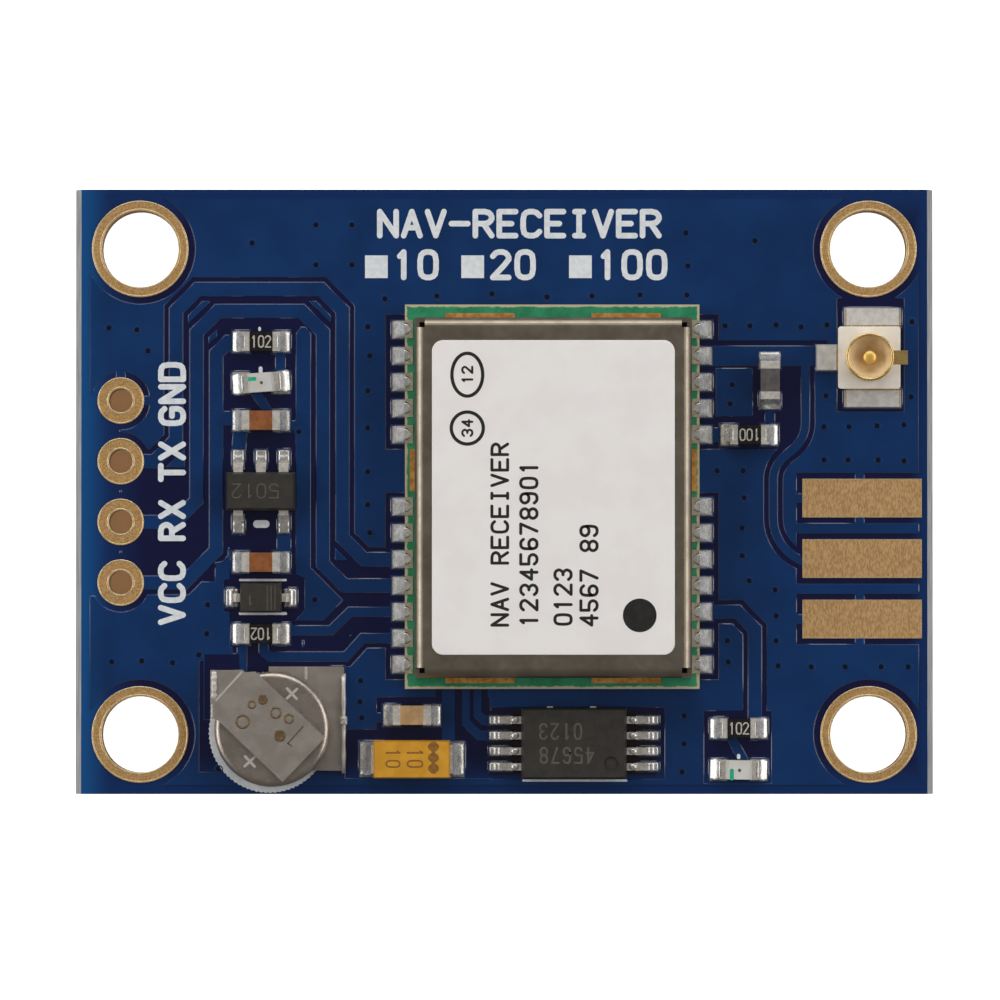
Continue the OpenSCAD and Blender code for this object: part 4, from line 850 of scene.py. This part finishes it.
@dataclass
class Receiver:
    """Carrier board with its contacts, the shield can and the printed label."""

    label_base: float = 4.0
    label_top: float = 4.054
    print_top: float = 4.059
    corner: float = 0.47
    lines: tuple[Lettering, ...] = (
        Lettering("NAV RECEIVER", (0.2, -5.66), 0.56, 0.78, 0.645, 0.125, Reading.UPWARD),
        Lettering("12345678901", (1.42, -5.66), 0.52, 0.8, 0.635, 0.125, Reading.UPWARD),
        Lettering("0123", (2.84, -5.62), 0.52, 0.8, 0.62, 0.125, Reading.UPWARD),
        Lettering("4567 89", (3.92, -5.66), 0.52, 0.8, 0.62, 0.125, Reading.UPWARD))
    dot: Place = (5.63, -5.19)
    dot_r: float = 0.7
    badges: tuple[tuple[Place, Place, str], ...] = (
        ((-1.54, 4.82), (0.64, 0.89), "12"), ((-1.54, 2.6), (0.665, 0.665), "34"))
    badge_line: float = 0.14
    badge_shift: Place = (0.25, -0.37)
    print_bed: float = 0.004

    def build(self) -> None:
        """Dresses the receiver and prints its label."""
        dress(CARRIER, "receiver_carrier")
        dress(CASTELLATION, "receiver_castellations")
        dress(STRIP_GOLD, "shield_ground_pads")
        dress(CAN, "shield_can", "reference_oscillator", "clock_crystal")
        dress(SEALED, "receiver_chip", "flash_memory", "band_filter", "low_noise_amplifier", "converter_inductor")
        self.label()
        self.print()

    def label(self) -> None:
        """Makes the label: a sheet whose outline is a rectangle with round corners.

        The outline at an angle is the corner's centre plus a quarter of a circle; the section runs out from the
        middle, rolls down at the edge and comes back beneath.
        """
        low, high = box_mm("receiver_label")
        middle, half = (low + high)[:2] / 2, (high - low)[:2] / 2
        turn = np.linspace(0, 2 * np.pi, 96, endpoint=False)
        quarter = np.sign(np.round(np.stack([np.cos(turn), np.sin(turn)], axis=-1), 9))
        quarter = np.where(quarter == 0, 1, quarter)
        outline = quarter * (half - self.corner) + self.corner * np.stack([np.cos(turn), np.sin(turn)], axis=-1)
        top = self.label_top
        form = Form()
        form.sheet(middle, outline, ((0, top), (0.5, top), (0.97, top), (0.995, top - 0.002), (1, top - 0.012),
                                     (1, self.label_base), (0, self.label_base)))
        form.piece("label_film", [LABEL], "label", replaces=("receiver_label",))

    def print(self) -> None:
        """Prints the label's lines, its dot and two numbered badges."""
        form = Form()
        base = self.label_top - self.print_bed
        for line in self.lines:
            line.draw(form, base, self.print_top)
        profile = np.array([(0.0, base), (self.dot_r, base), (self.dot_r, self.print_top), (0.0, self.print_top)])
        form.turned(self.dot, profile, 64)
        turn = np.linspace(0, 2 * np.pi, 97)
        for centre, half, number in self.badges:
            loop = np.array(centre) + np.array(half) * np.stack([np.cos(turn), np.sin(turn)], axis=-1)
            line_of(form, loop, self.badge_line, base, self.print_top)
            start = (centre[0] + self.badge_shift[0], centre[1] + self.badge_shift[1])
            Lettering(number, start, 0.34, 0.5, 0.4, 0.09, Reading.UPWARD).draw(form, base, self.print_top)
        form.piece("label_print", [PRINT], "label")


@dataclass
class ChipParts:
    """Resistors, ceramic capacitors and light-emitting diodes, with the codes and marks on them."""

    codes: tuple[tuple[str, str, Reading], ...] = (
        ("resistor_1", "102", Reading.ACROSS), ("resistor_2", "102", Reading.INVERTED),
        ("resistor_3", "102", Reading.ACROSS), ("resistor_4", "100", Reading.INVERTED))
    code_height: float = 0.52
    code_width: float = 0.27
    code_pitch: float = 0.29
    pen: float = 0.06
    proud: float = 0.004
    bed: float = 0.002
    led_bars: tuple[tuple[Place, float], ...] = (((-0.36, 0.16), 4.0), ((-0.3, -0.2), -1.0))
    led_runs: Place = (0.1, 0.16)
    bar_width: float = 0.17
    dot_r: float = 0.07

    def build(self) -> None:
        """Dresses the parts and prints their codes and marks."""
        for i in range(1, 5):
            dress(GLAZE, f"resistor_{i}_body")
            dress(TIN, f"resistor_{i}_terminals", f"capacitor_{i}_terminals")
        dress(CERAMIC_BROWN, "capacitor_1_body", "capacitor_2_body")
        dress(CERAMIC_TAN, "capacitor_3_body")
        dress(CERAMIC_GREY, "capacitor_4_body")
        for i in (1, 2):
            dress(LED_BASE, f"led_{i}_base")
            dress(TIN, f"led_{i}_terminals")
            dress(LENS, f"led_{i}_lens")
        form = Form()
        for name, text, reading in self.codes:
            low, high = box_mm(f"{name}_body")
            middle = (low + high) / 2
            side = -1 if reading is Reading.INVERTED else 1
            length = self.code_width + self.code_pitch * (len(text) - 1)
            start = (middle[0] - side * length / 2, middle[1] - side * self.code_height / 2)
            Lettering(text, start, self.code_width, self.code_height, self.code_pitch, self.pen,
                      reading).draw(form, high[2] - self.bed, high[2] + self.proud)
        form.piece("resistor_codes", [PALE_MARKING], "label")
        self.led_marks()

    def led_marks(self) -> None:
        """Marks each diode's end with a green bar, and its chip with a small dot."""
        form = Form()
        for i, (bar, turn) in enumerate(self.led_bars, start=1):
            low, high = box_mm(f"led_{i}_lens")
            middle, top = (low + high) / 2, high[2]
            way = np.array([math.cos(math.radians(turn)), math.sin(math.radians(turn))])
            side = np.array([-way[1], way[0]])
            centre = middle[:2] + bar[0] * way + bar[1] * side
            run = self.led_runs[0] * way if i == 1 else self.led_runs[1] * side
            low_face, high_face = top - self.bed, top + self.proud
            line_of(form, np.stack([centre - run, centre + run]), self.bar_width, low_face, high_face, 0)
            profile = np.array([(0.0, low_face), (self.dot_r, low_face), (self.dot_r, high_face), (0.0, high_face)])
            form.turned(tuple(middle[:2] + 0.02 * way - 0.02 * side), profile, 20, 1)
        form.piece("led_marks", [GREEN_MARK, MARKING], "lens")


@dataclass
class MouldedParts:
    """Regulator, diode, memory and tantalum capacitor, with the faint marking on their moulded faces."""

    proud: float = 0.003

    def build(self) -> None:
        """Dresses the parts and marks their upper faces."""
        dress(MOULDING, "regulator_body", "diode_body", "memory_body")
        dress(TIN, "regulator_leads", "diode_leads", "memory_leads", "tantalum_terminals")
        dress(TANTALUM, "tantalum_body")
        form = Form()
        regulator, diode, memory = (self.face(f"{name}_body") for name in ("regulator", "diode", "memory"))
        self.line(form, regulator, "5012", (0.75, 0.32), 0.4, 0.62, Reading.INVERTED, 0)
        self.line(form, memory, "0123", (0.34, 0.86), 0.36, 0.71, Reading.INVERTED, 0, 0.085)
        self.line(form, memory, "45678", (0.84, -0.14), 0.36, 0.71, Reading.INVERTED, 0, 0.085)
        top = diode[2] + self.proud
        for shift in (0.28, 0.44, 0.6):
            path = np.array([(diode[0] + shift, diode[1] - 0.5), (diode[0] + shift, diode[1] + 0.5)])
            line_of(form, path, 0.035, diode[2] - 0.002, top)
        self.line(form, diode, "1", (-0.3, 0.1), 0.3, 0.42, Reading.INVERTED, 0)
        form.piece("moulded_marking", [MARKING], "label")
        self.tantalum_marks()
        self.flux(memory)

    def tantalum_marks(self) -> None:
        """Marks the tantalum capacitor with two pairs of digits and a bar at its positive end.

        The bar is a chain of bows: its half width follows the size of a cosine along it.
        """
        form = Form()
        body = self.face("tantalum_body")
        self.line(form, body, "10", (-1.09, 0.45), 0.34, 0.63, Reading.DOWNWARD, 0, 0.075)
        self.line(form, body, "10", (-0.21, 0.45), 0.34, 0.7, Reading.DOWNWARD, 0, 0.075)
        share = np.linspace(-1, 1, 25)[:, None]
        half = 0.05 + 0.19 * np.abs(np.cos(1.5 * np.pi * share))
        middle = np.concatenate([body[0] + 0.91 + 0 * share, body[1] + 0.08 + 0.67 * share], axis=1)
        edges = np.stack([middle - half * [1, 0], middle + half * [1, 0]], axis=1)
        form.slab(lifted(edges, body[2] + self.proud), lifted(edges, body[2] - 0.002))
        form.piece("tantalum_marks", [BROWN_MARK], "tantalum")

    def flux(self, memory: tuple[float, float, float]) -> None:
        """Leaves a thin brown film of flux between the memory's leads.

        Args:
            memory: middle of the memory's upper face.
        """
        form = Form()
        for side in (-1, 1):
            ends = sorted((memory[0] + side * 2.2, memory[0] + side * 3.5))
            patch_of(form, (ends[0], memory[1] - 1.3), (ends[1], memory[1] + 1.3), FILM_TOP - 0.001, FILM_TOP + 0.004)
        form.piece("flux_film", [FLUX], "mask")

    def face(self, node: str) -> tuple[float, float, float]:
        """Middle of a solid's upper face."""
        low, high = box_mm(node)
        return float(low[0] + high[0]) / 2, float(low[1] + high[1]) / 2, float(high[2])

    def line(self, form: Form, face: tuple[float, float, float], text: str, shift: Place, width: float, height: float,
             reading: Reading, finish: int, pen: float = 0.05) -> None:
        """Prints a line of digits on an upper face.

        Args:
            form: what the digits are added to.
            face: middle of the face.
            text: the digits.
            shift: start of the line from the middle.
            width: a digit's width.
            height: a digit's height.
            reading: the way that the line runs.
            finish: number of the finish.
            pen: width of a stroke.
        """
        start = (face[0] + shift[0], face[1] + shift[1])
        Lettering(text, start, width, height, width + 0.12, pen, reading).draw(
            form, face[2] - 0.002, face[2] + self.proud, finish)


@dataclass
class BackupCell:
    """Coin cell with its welded strap and base tab, weld and stamp marks, and highlights painted on fold and tab."""

    proud: float = 0.004
    pluses: tuple[Place, ...] = ((-8.85, -8.45), (-10.6, -11.27))
    plus_half: float = 0.29
    rings: tuple[tuple[Place, float], ...] = (((-10.9, -9.61), 0.26), ((-10.52, -8.9), 0.14), ((-9.52, -9.24), 0.21),
                                             ((-8.97, -9.49), 0.17))
    burns: tuple[tuple[Place, float], ...] = (((-10.06, -8.69), 0.22), ((-9.35, -10.2), 0.26))
    scores: tuple[tuple[Place, Place], ...] = (((-9.01, -10.52), (-8.39, -9.82)), ((-9.01, -10.52), (-8.86, -10.62)))
    # Places of painted highlights: along the strap's fold, and a line on the base tab.
    fold_highlight: tuple[Place, Place] = ((-12.0, -8.72), (-10.95, -7.56))
    tab_highlight: tuple[Place, Place] = ((-8.29, -7.38), (-8.29, -7.8))

    def build(self) -> None:
        """Dresses the cell, adds its marks, and paints highlights on the strap's fold and the base tab."""
        dress(CASE_STEEL, "cell_case", "cell_cap")
        dress(GASKET, "cell_gasket")
        dress(STEEL, "cell_top_strap", "cell_base_tab")
        strap = float(box_mm("cell_top_strap")[1][2])
        case = float(box_mm("cell_case")[1][2])
        form = Form()
        for centre, r in self.rings:
            form.turned(centre, self.ridge(r, strap), 28, 0)
        for centre, r in self.burns:
            form.turned(centre, self.crater(r, strap), 28, 0)
        for path in self.scores:
            line_of(form, path, 0.06, strap - 0.002, strap + self.proud)
        form.piece("weld_marks", [HEAT], "steel", 70)
        marks_and_highlights = Form()
        for x, y in self.pluses:
            way = np.array([math.cos(0.75), math.sin(0.75)])
            for leg in (way, np.array([-way[1], way[0]])):
                path = np.stack([np.array([x, y]) - self.plus_half * leg, np.array([x, y]) + self.plus_half * leg])
                line_of(marks_and_highlights, path, 0.11, case - 0.002, case + self.proud - (leg is way) * PRINT_STEP)
        # Painted highlight: a bright flat strip along the strap's fold, where the bend catches the light.
        line_of(marks_and_highlights, self.fold_highlight, 0.09, strap - 0.01, strap + self.proud)
        # Painted highlight: a bright line on the base tab.
        tab = float(box_mm("cell_base_tab")[1][2])
        line_of(marks_and_highlights, self.tab_highlight, 0.12, tab - 0.002, tab + self.proud)
        marks_and_highlights.piece("cell_stamps_and_highlights", [STAMP_AND_HIGHLIGHT], "steel")

    def ridge(self, r: float, base: float) -> np.ndarray:
        """Section of a low ring-shaped weld: a bump of a cosine's form about its radius."""
        angle = np.linspace(-np.pi, np.pi, 9)
        return np.stack([r + angle / np.pi * 0.055, base + 0.008 * (1 + np.cos(angle))], axis=1)

    def crater(self, r: float, base: float) -> np.ndarray:
        """Section of a spot weld: a raised lip round a shallow dish."""
        share = np.linspace(1, 0, 9)
        return np.stack([r * share, base + 0.03 * (share ** 2) * (1 - share ** 6) + 0.004], axis=1)


@dataclass
class AntennaSocket:
    """Small coaxial socket: moulded base, gilt collar with a rolled lip, and a domed centre pin."""

    pin_r: float = 0.28
    dome: float = 0.12
    bore_r: float = 0.88
    lip_r: float = 0.94
    lip: Place = (0.06, 0.04)
    web_half: float = 0.6
    web_from: float = 0.8
    web_to: float = 1.18

    def build(self) -> None:
        """Dresses the socket, and rounds its lip and its pin.

        The lip is an ellipse, the dome a quarter of one and the floor a dish that rises with a power of the radius,
        each carried round the socket's axis. Two thin patches cover the webs beside the collar.
        """
        dress(INSULATOR, "socket_insulator")
        dress(SOCKET_GOLD, "socket_shell", "socket_contact")
        centre = tuple(middle_mm("socket_insulator")[:2])
        base, collar, pin = (float(box_mm(f"socket_{name}")[1][2]) for name in ("insulator", "shell", "contact"))
        turn = np.linspace(0, 2 * np.pi, 17)
        quarter = np.linspace(0, np.pi / 2, 17)
        form = Form()
        form.turned(centre, np.stack([self.lip_r + self.lip[0] * np.cos(turn), collar + self.lip[1] * np.sin(turn)],
                                     axis=1), 72)
        dome = np.stack([self.pin_r * np.cos(quarter), pin + self.dome * np.sin(quarter)], axis=1)
        form.turned(centre, np.vstack([[(0.0, pin - 0.02), (self.pin_r, pin - 0.02)], dome]), 64, 1)
        form.piece("socket_roundings", [SOCKET_GOLD, PIN_GOLD], "gold", 50)
        share = np.linspace(1, 0, 13)
        dish = np.stack([self.pin_r + (self.bore_r - self.pin_r) * share, base + 0.02 + 0.55 * share ** 2.4], axis=1)
        edge = [(self.pin_r, base - 0.01), (self.bore_r, base - 0.01)]
        floor = Form()
        # Painted reflection: the dish's tan finish stands for the gold collar reflected on the cream moulding.
        floor.turned(centre, np.vstack([edge, dish, edge[:1]]), 64)
        for low, high in ((-self.web_to, -self.web_from), (self.web_from, self.web_to)):
            patch_of(floor, (centre[0] - self.web_half, centre[1] + low), (centre[0] + self.web_half, centre[1] + high),
                     base - 0.01, base + 0.006, 1)
        floor.piece("socket_floor", [FLOOR_GOLD_REFLECTION, INSULATOR], "insulator", 30)


@dataclass
class SolderWork:
    """Every solder joint, as a surface that wets its pad and the part's end."""

    chip_reach: float = 0.42
    chip_width: float = 0.97
    pin_pitch: float = 1.1
    pin_end: float = 1.02
    upper: int = 5
    lower: int = 7
    steps: tuple[int, int] = (15, 15)
    notch_r: float = 0.25
    contact_reach: float = 0.57
    contact_half: float = 0.39
    plug_rise: float = 0.87
    pillow_rise: Place = (0.12, 0.75)
    shoulder_at: float = 2.46
    shoulder_half: Place = (0.19, 0.16)
    pillows: dict[str, tuple[float, float, float]] = field(default_factory=lambda: {
        "regulator": (0.48, 0.3, 0.5), "memory": (0.3, 0.36, 0.4), "diode": (0.38, 0.2, 0.82)})
    form: Form = field(default_factory=Form)

    def build(self) -> None:
        """Adds the joints of every part and makes them one piece."""
        for i in range(1, 5):
            self.chip(f"resistor_{i}", 0.505, 0.13, 0)
            self.chip(f"capacitor_{i}", 0.66, 0.0, 90 if i == 4 else 0)
        self.chip("led_1", 0.355, 0.1, 4)
        self.chip("led_2", 0.355, 0.1, -1)
        self.contacts()
        self.leads("regulator", [(i * 0.95, s) for s in (-1, 1) for i in (-1, 0, 1) if s > 0 or i], 90)
        self.leads("memory", [(s, (1.5 - i) * 0.65) for s in (-1, 1) for i in range(4)], 0)
        self.leads("diode", [(-1, 0.0), (1, 0.0)], 0)
        self.tantalum()
        self.cell()
        self.socket()
        self.form.piece("solder_fillets", [SOLDER, CONTACT_SOLDER, MATTE_SOLDER], "solder", 50, ("solder_joints",))

    def blob(self, centre: np.ndarray, way: np.ndarray, along: np.ndarray, half: np.ndarray, height: np.ndarray,
             finish: int = 0, edge: float = 6.0) -> None:
        """Adds one joint over its pad.

        A station lies so far along the way, and across it the joint runs from minus to plus its half width; the
        height there is the station's height times the fourth root of one less a power of the share across.

        Args:
            centre: the joint's origin on the board.
            way: unit vector that it runs along.
            along: stations from the origin.
            half: half width at each station.
            height: height over the foil at each station.
            finish: number of its finish.
            edge: that power: the greater, the sharper the joint's sides.
        """
        side = np.array([-way[1], way[0]])
        across = np.linspace(-1, 1, self.steps[1])
        across = np.sign(across) * np.abs(across) ** 0.7
        flat = (centre + along[:, None, None] * way + (half[:, None] * across)[..., None] * side)
        fall = np.maximum(1 - np.abs(across) ** edge, 0) ** 0.25
        top = np.concatenate([flat, (FOIL_TOP + height[:, None] * fall)[..., None]], axis=-1)
        self.form.slab(top, lifted(flat, FOIL_TOP - 0.002), finish)

    def chip(self, name: str, climb: float, lap: float, turn: float) -> None:
        """Adds the two end joints of a chip part.

        A joint starts over the terminal's outer edge, rises there to its full climb, then falls as the square of the
        way left to the pad's edge, where it is rounded off.

        Args:
            name: the part.
            climb: the joint's full height over the foil.
            lap: how far it lies over the terminal.
            turn: the part's turn in degrees.
        """
        middle = middle_mm(f"{name}_terminals")[:2]
        along = np.concatenate([np.linspace(-lap - 0.01, 0, 6)[:-1], np.linspace(0, self.chip_reach, self.steps[0])])
        share = np.clip(along / self.chip_reach, 0, 1)
        fall = 0.1 + (climb - 0.1) * (1 - share) ** 2
        start = np.clip((along + lap + 0.01) / 0.05, 0, 1)
        height = fall * np.maximum(1 - share ** 10, 0) ** 0.5 - 0.03 * (1 - start) ** 2
        half = self.chip_width / 2 * (0.94 + 0.06 * np.sin(np.pi * share)) * (1 - 0.12 * share ** 8)
        for way_turn in (turn, turn + 180):
            angle = math.radians(way_turn)
            way = np.array([math.cos(angle), math.sin(angle)])
            self.blob(middle + 0.8 * way, way, along, half, height)

    def contacts(self) -> None:
        """Adds the joints of the receiver's contacts: a plug in each half-round notch, and a pillow over its pad.

        The pillow's height falls from the plug's with a power of the way left to the pad's edge, where it is rounded
        off, and its half width swells from the notch's to the pad's by a smooth step.
        """
        low, high = box_mm("receiver_carrier")
        rows = np.concatenate([high[1] - self.pin_end - self.pin_pitch * np.arange(self.upper),
                               low[1] + self.pin_end + self.pin_pitch * np.arange(self.lower)])
        along = np.concatenate([-self.notch_r * np.cos(np.linspace(0.02, np.pi / 2, 7)),
                                np.linspace(0.02, self.contact_reach, 14)])
        inside = np.sqrt(np.maximum(self.notch_r ** 2 - np.minimum(along, 0) ** 2, 1e-4))
        swell = np.clip(along / 0.1, 0, 1)
        half = inside + (self.contact_half - inside) * swell * swell * (3 - 2 * swell)
        beyond = np.clip(along / self.contact_reach, 0, 1)
        foot, climb = self.pillow_rise
        height = np.where(along < 0, self.plug_rise, foot + climb * (1 - beyond) ** 1.3)
        height = height * np.maximum(1 - beyond ** 8, 0) ** 0.5
        plug = along <= 0.05
        for side, edge in ((-1.0, low[0]), (1.0, high[0])):
            for row in rows:
                wobble = 1 + 0.05 * math.sin(7.3 * row + side)
                place, way = np.array([edge, row]), np.array([side, 0.0])
                self.blob(place, way, along[plug], inside[plug], self.plug_rise + 0 * along[plug], 1, 14.0)
                self.blob(place, way, along[~plug] - 0.08, half[~plug] * (0.98 + 0.02 * wobble),
                          height[~plug] * wobble, 1, 3.0)

    def leads(self, name: str, places: list[tuple[float, float]], turn: float) -> None:
        """Adds the joints of formed leads: a pillow over each foot that thins towards the pad's outer edge.

        Args:
            name: the part.
            places: each lead's place: its offset along the body, and its side as -1 or 1, in the order of X and Y.
            turn: 90 where the leads run along Y, else 0.
        """
        low, high = box_mm(f"{name}_leads")
        middle = ((low + high) / 2)[:2]
        reach = ((high - low)[:2] / 2)[1 if turn else 0]
        share = np.linspace(0, 1, self.steps[0])
        foot, out, width = self.pillows[name]
        along = -foot + share * (foot + out)
        saddle = 0.245 - 0.05 * np.sin(2 * np.pi * share) ** 2
        height = saddle * np.maximum(1 - np.abs(2 * share - 1) ** 5, 0) ** 0.5
        half = width / 2 * (0.9 + 0.1 * np.sin(np.pi * share))
        for first, second in places:
            if turn:
                centre, way = middle + np.array([first, second * reach]), np.array([0.0, second])
            else:
                centre, way = middle + np.array([first * reach, second]), np.array([first, 0.0])
            self.blob(centre, way, along, half, height)
            if name == "memory":
                self.shoulder(middle + np.array([first * self.shoulder_at, second]), float(high[2]))

    def shoulder(self, centre: np.ndarray, top: float) -> None:
        """Adds the bright bead on a lead's shoulder: a low dome carried round an ellipse.

        Args:
            centre: the bead's middle on the board.
            top: height of the lead's upper face.
        """
        turn = np.linspace(0, 2 * np.pi, 24, endpoint=False)
        outline = np.array(self.shoulder_half) * np.stack([np.cos(turn), np.sin(turn)], axis=-1)
        self.form.sheet(centre, outline, ((0, top + 0.06), (0.35, top + 0.053), (0.65, top + 0.034), (0.88, top),
                                          (1, top - 0.05), (0, top - 0.05)))

    def tantalum(self) -> None:
        """Adds the end joints of the tantalum capacitor."""
        low, high = box_mm("tantalum_terminals")
        middle = ((low + high) / 2)[:2]
        share = np.linspace(0, 1, self.steps[0])
        height = (0.1 + 0.68 * (1 - share) ** 2.0) * np.maximum(1 - share ** 10, 0) ** 0.5
        half = 0.74 * (1 - 0.08 * share ** 6)
        for side in (-1.0, 1.0):
            self.blob(middle + np.array([side * (high[0] - low[0]) / 2, 0]), np.array([side, 0.0]), share * 0.5, half,
                      height)

    def cell(self) -> None:
        """Adds the two long joints of the cell: beside the strap's foot and along the base tab's outer side."""
        share = np.linspace(0, 1, 25)
        for centre, length, width, rise in (((-12.13, -7.47), 1.3, 0.3, 0.26), ((-12.13, -8.78), 0.74, 0.3, 0.07),
                                            ((-6.72, -7.6), 4.2, 0.2, 0.4), ((-6.72, -9.4), 0.36, 0.34, 0.46)):
            height = rise * np.maximum(1 - np.abs(2 * share - 1) ** 8, 0) ** 0.5 * (1 + 0.06 * np.sin(31 * share))
            half = width / 2 * (0.9 + 0.1 * np.cos(23 * share))
            self.blob(np.array(centre), np.array([0.0, -1.0]), share * length, half, height, 2, 4.0)

    def socket(self) -> None:
        """Adds the joints over the socket's two feet and its signal tail."""
        low, high = box_mm("socket_insulator")
        middle = (low + high) / 2
        share = np.linspace(0, 1, self.steps[0])
        height = 0.245 * np.maximum(1 - np.abs(2 * share - 1) ** 24, 0) ** 0.5
        for centre, way, length, half in (
                ((middle[0] + 0.15, high[1] + 0.01), (0.0, 1.0), 0.8, 1.2),
                ((middle[0] + 0.15, low[1] - 0.01), (0.0, -1.0), 0.8, 1.2),
                ((low[0] - 0.01, middle[1]), (-1.0, 0.0), 0.92, 0.57)):
            self.blob(np.array(centre), np.array(way), share * length, half + 0 * share, height, 2, 20.0)


@dataclass
class Studio:
    """Floor, soft lights and camera."""

    frame_width: float = 41.84
    distance: float = 400.0
    target: tuple[float, float, float] = (-0.18, -0.35, 1.6)
    elevation: float = 89.0
    floor_r: float = 2000.0
    glow: float = 1.0
    shade: Colour = (104, 77, 50)
    sky: float = 0.13
    boxes: tuple[tuple[str, tuple[float, float, float], Place, float], ...] = (
        ("softbox_west", (-380, 40, 230), (420, 300), 2.6),
        ("softbox_east", (380, 40, 230), (420, 300), 2.4),
        ("softbox_north", (0, 400, 240), (520, 300), 2.4))

    def build(self) -> None:
        """Sets the stage."""
        self.floor()
        self.lights()
        self.camera()
        bpy.context.scene.view_settings.view_transform = "Standard"
        bpy.context.scene.view_settings.look = "None"

    def floor(self) -> None:
        """Lays a pale round floor that glows softly, with a tan painted shade under the header holes."""
        turn = np.linspace(0, 2 * np.pi, 64, endpoint=False)
        radius = np.array([0.0, 60.0, 400.0, self.floor_r])[:, None]
        points = np.stack([radius * np.cos(turn), radius * np.sin(turn), -0.02 + 0 * radius * turn], axis=-1)
        form = Form()
        form.grid(points, wrap=True)
        mesh = bpy.data.meshes.new("floor")
        mesh.from_pydata(np.concatenate(form.points) * MM, [], np.concatenate(form.faces)[:, ::-1].tolist())
        shader = Shader("pale_floor")
        clouds = shader.fade(shader.noise(40.0), 0.3, 0.7)
        shader.set(Base_Color=shader.mix(clouds, (246, 246, 246), (242, 242, 243)), Roughness=0.8)
        # Painted shade: the glow is dimmed to the tan shade colour in a patch under the header holes.
        across = shader.fade(shader.sum("ABSOLUTE", shader.axis(0, -16.05)), 1.1, 1.3)
        along = shader.fade(shader.sum("ABSOLUTE", shader.axis(1)), 5.0, 5.2)
        glow = shader.mix(shader.sum("MAXIMUM", across, along), self.shade, (255, 255, 255))
        shader.set(Emission_Color=glow, Emission_Strength=self.glow)
        mesh.materials.append(shader.material)
        made = bpy.data.objects.new("floor", mesh)
        bpy.context.scene.collection.objects.link(made)
        made.visible_diffuse = made.visible_glossy = False

    def lights(self) -> None:
        """Sets softboxes at the left, the right and the far side, under a dim sky."""
        world = bpy.data.worlds.new("dim_sky")
        world.use_nodes = True
        world.node_tree.nodes["Background"].inputs["Color"].default_value = (1.0, 0.96, 0.92, 1.0)
        world.node_tree.nodes["Background"].inputs["Strength"].default_value = self.sky
        bpy.context.scene.world = world
        for name, place, size, radiance in self.boxes:
            light = bpy.data.lights.new(name, "AREA")
            light.shape = "RECTANGLE"
            light.size, light.size_y = size[0] * MM, size[1] * MM
            light.energy = radiance * math.pi * light.size * light.size_y
            made = bpy.data.objects.new(name, light)
            made.location = Vector(place) * MM
            made.rotation_euler = (-Vector(place)).to_track_quat("-Z", "Y").to_euler()
            made.visible_camera = False
            bpy.context.scene.collection.objects.link(made)

    def camera(self) -> None:
        """Sets a long lens straight over the board, tipped by a degree towards its lower side."""
        data = bpy.data.cameras.new("camera")
        data.sensor_width = 36.0
        data.lens = 36.0 * self.distance / self.frame_width
        data.clip_start, data.clip_end = 0.05, 5.0
        made = bpy.data.objects.new("camera", data)
        turn = math.radians(self.elevation)
        back = Vector((0.0, -math.cos(turn), math.sin(turn)))
        made.location = (Vector(self.target) + self.distance * back) * MM
        made.rotation_euler = (-back).to_track_quat("-Z", "Y").to_euler()
        bpy.context.scene.collection.objects.link(made)
        bpy.context.scene.camera = made


def main() -> None:
    """Builds the sub-assemblies in order."""
    logging.basicConfig(level=logging.INFO, format="%(name)s: %(message)s")
    for part in (PrintedBoard(), Receiver(), ChipParts(), MouldedParts(), BackupCell(), AntennaSocket(), SolderWork(),
                 Studio()):
        LOG.info("building %s", type(part).__name__)
        part.build()


if __name__ == "__main__":
    main()
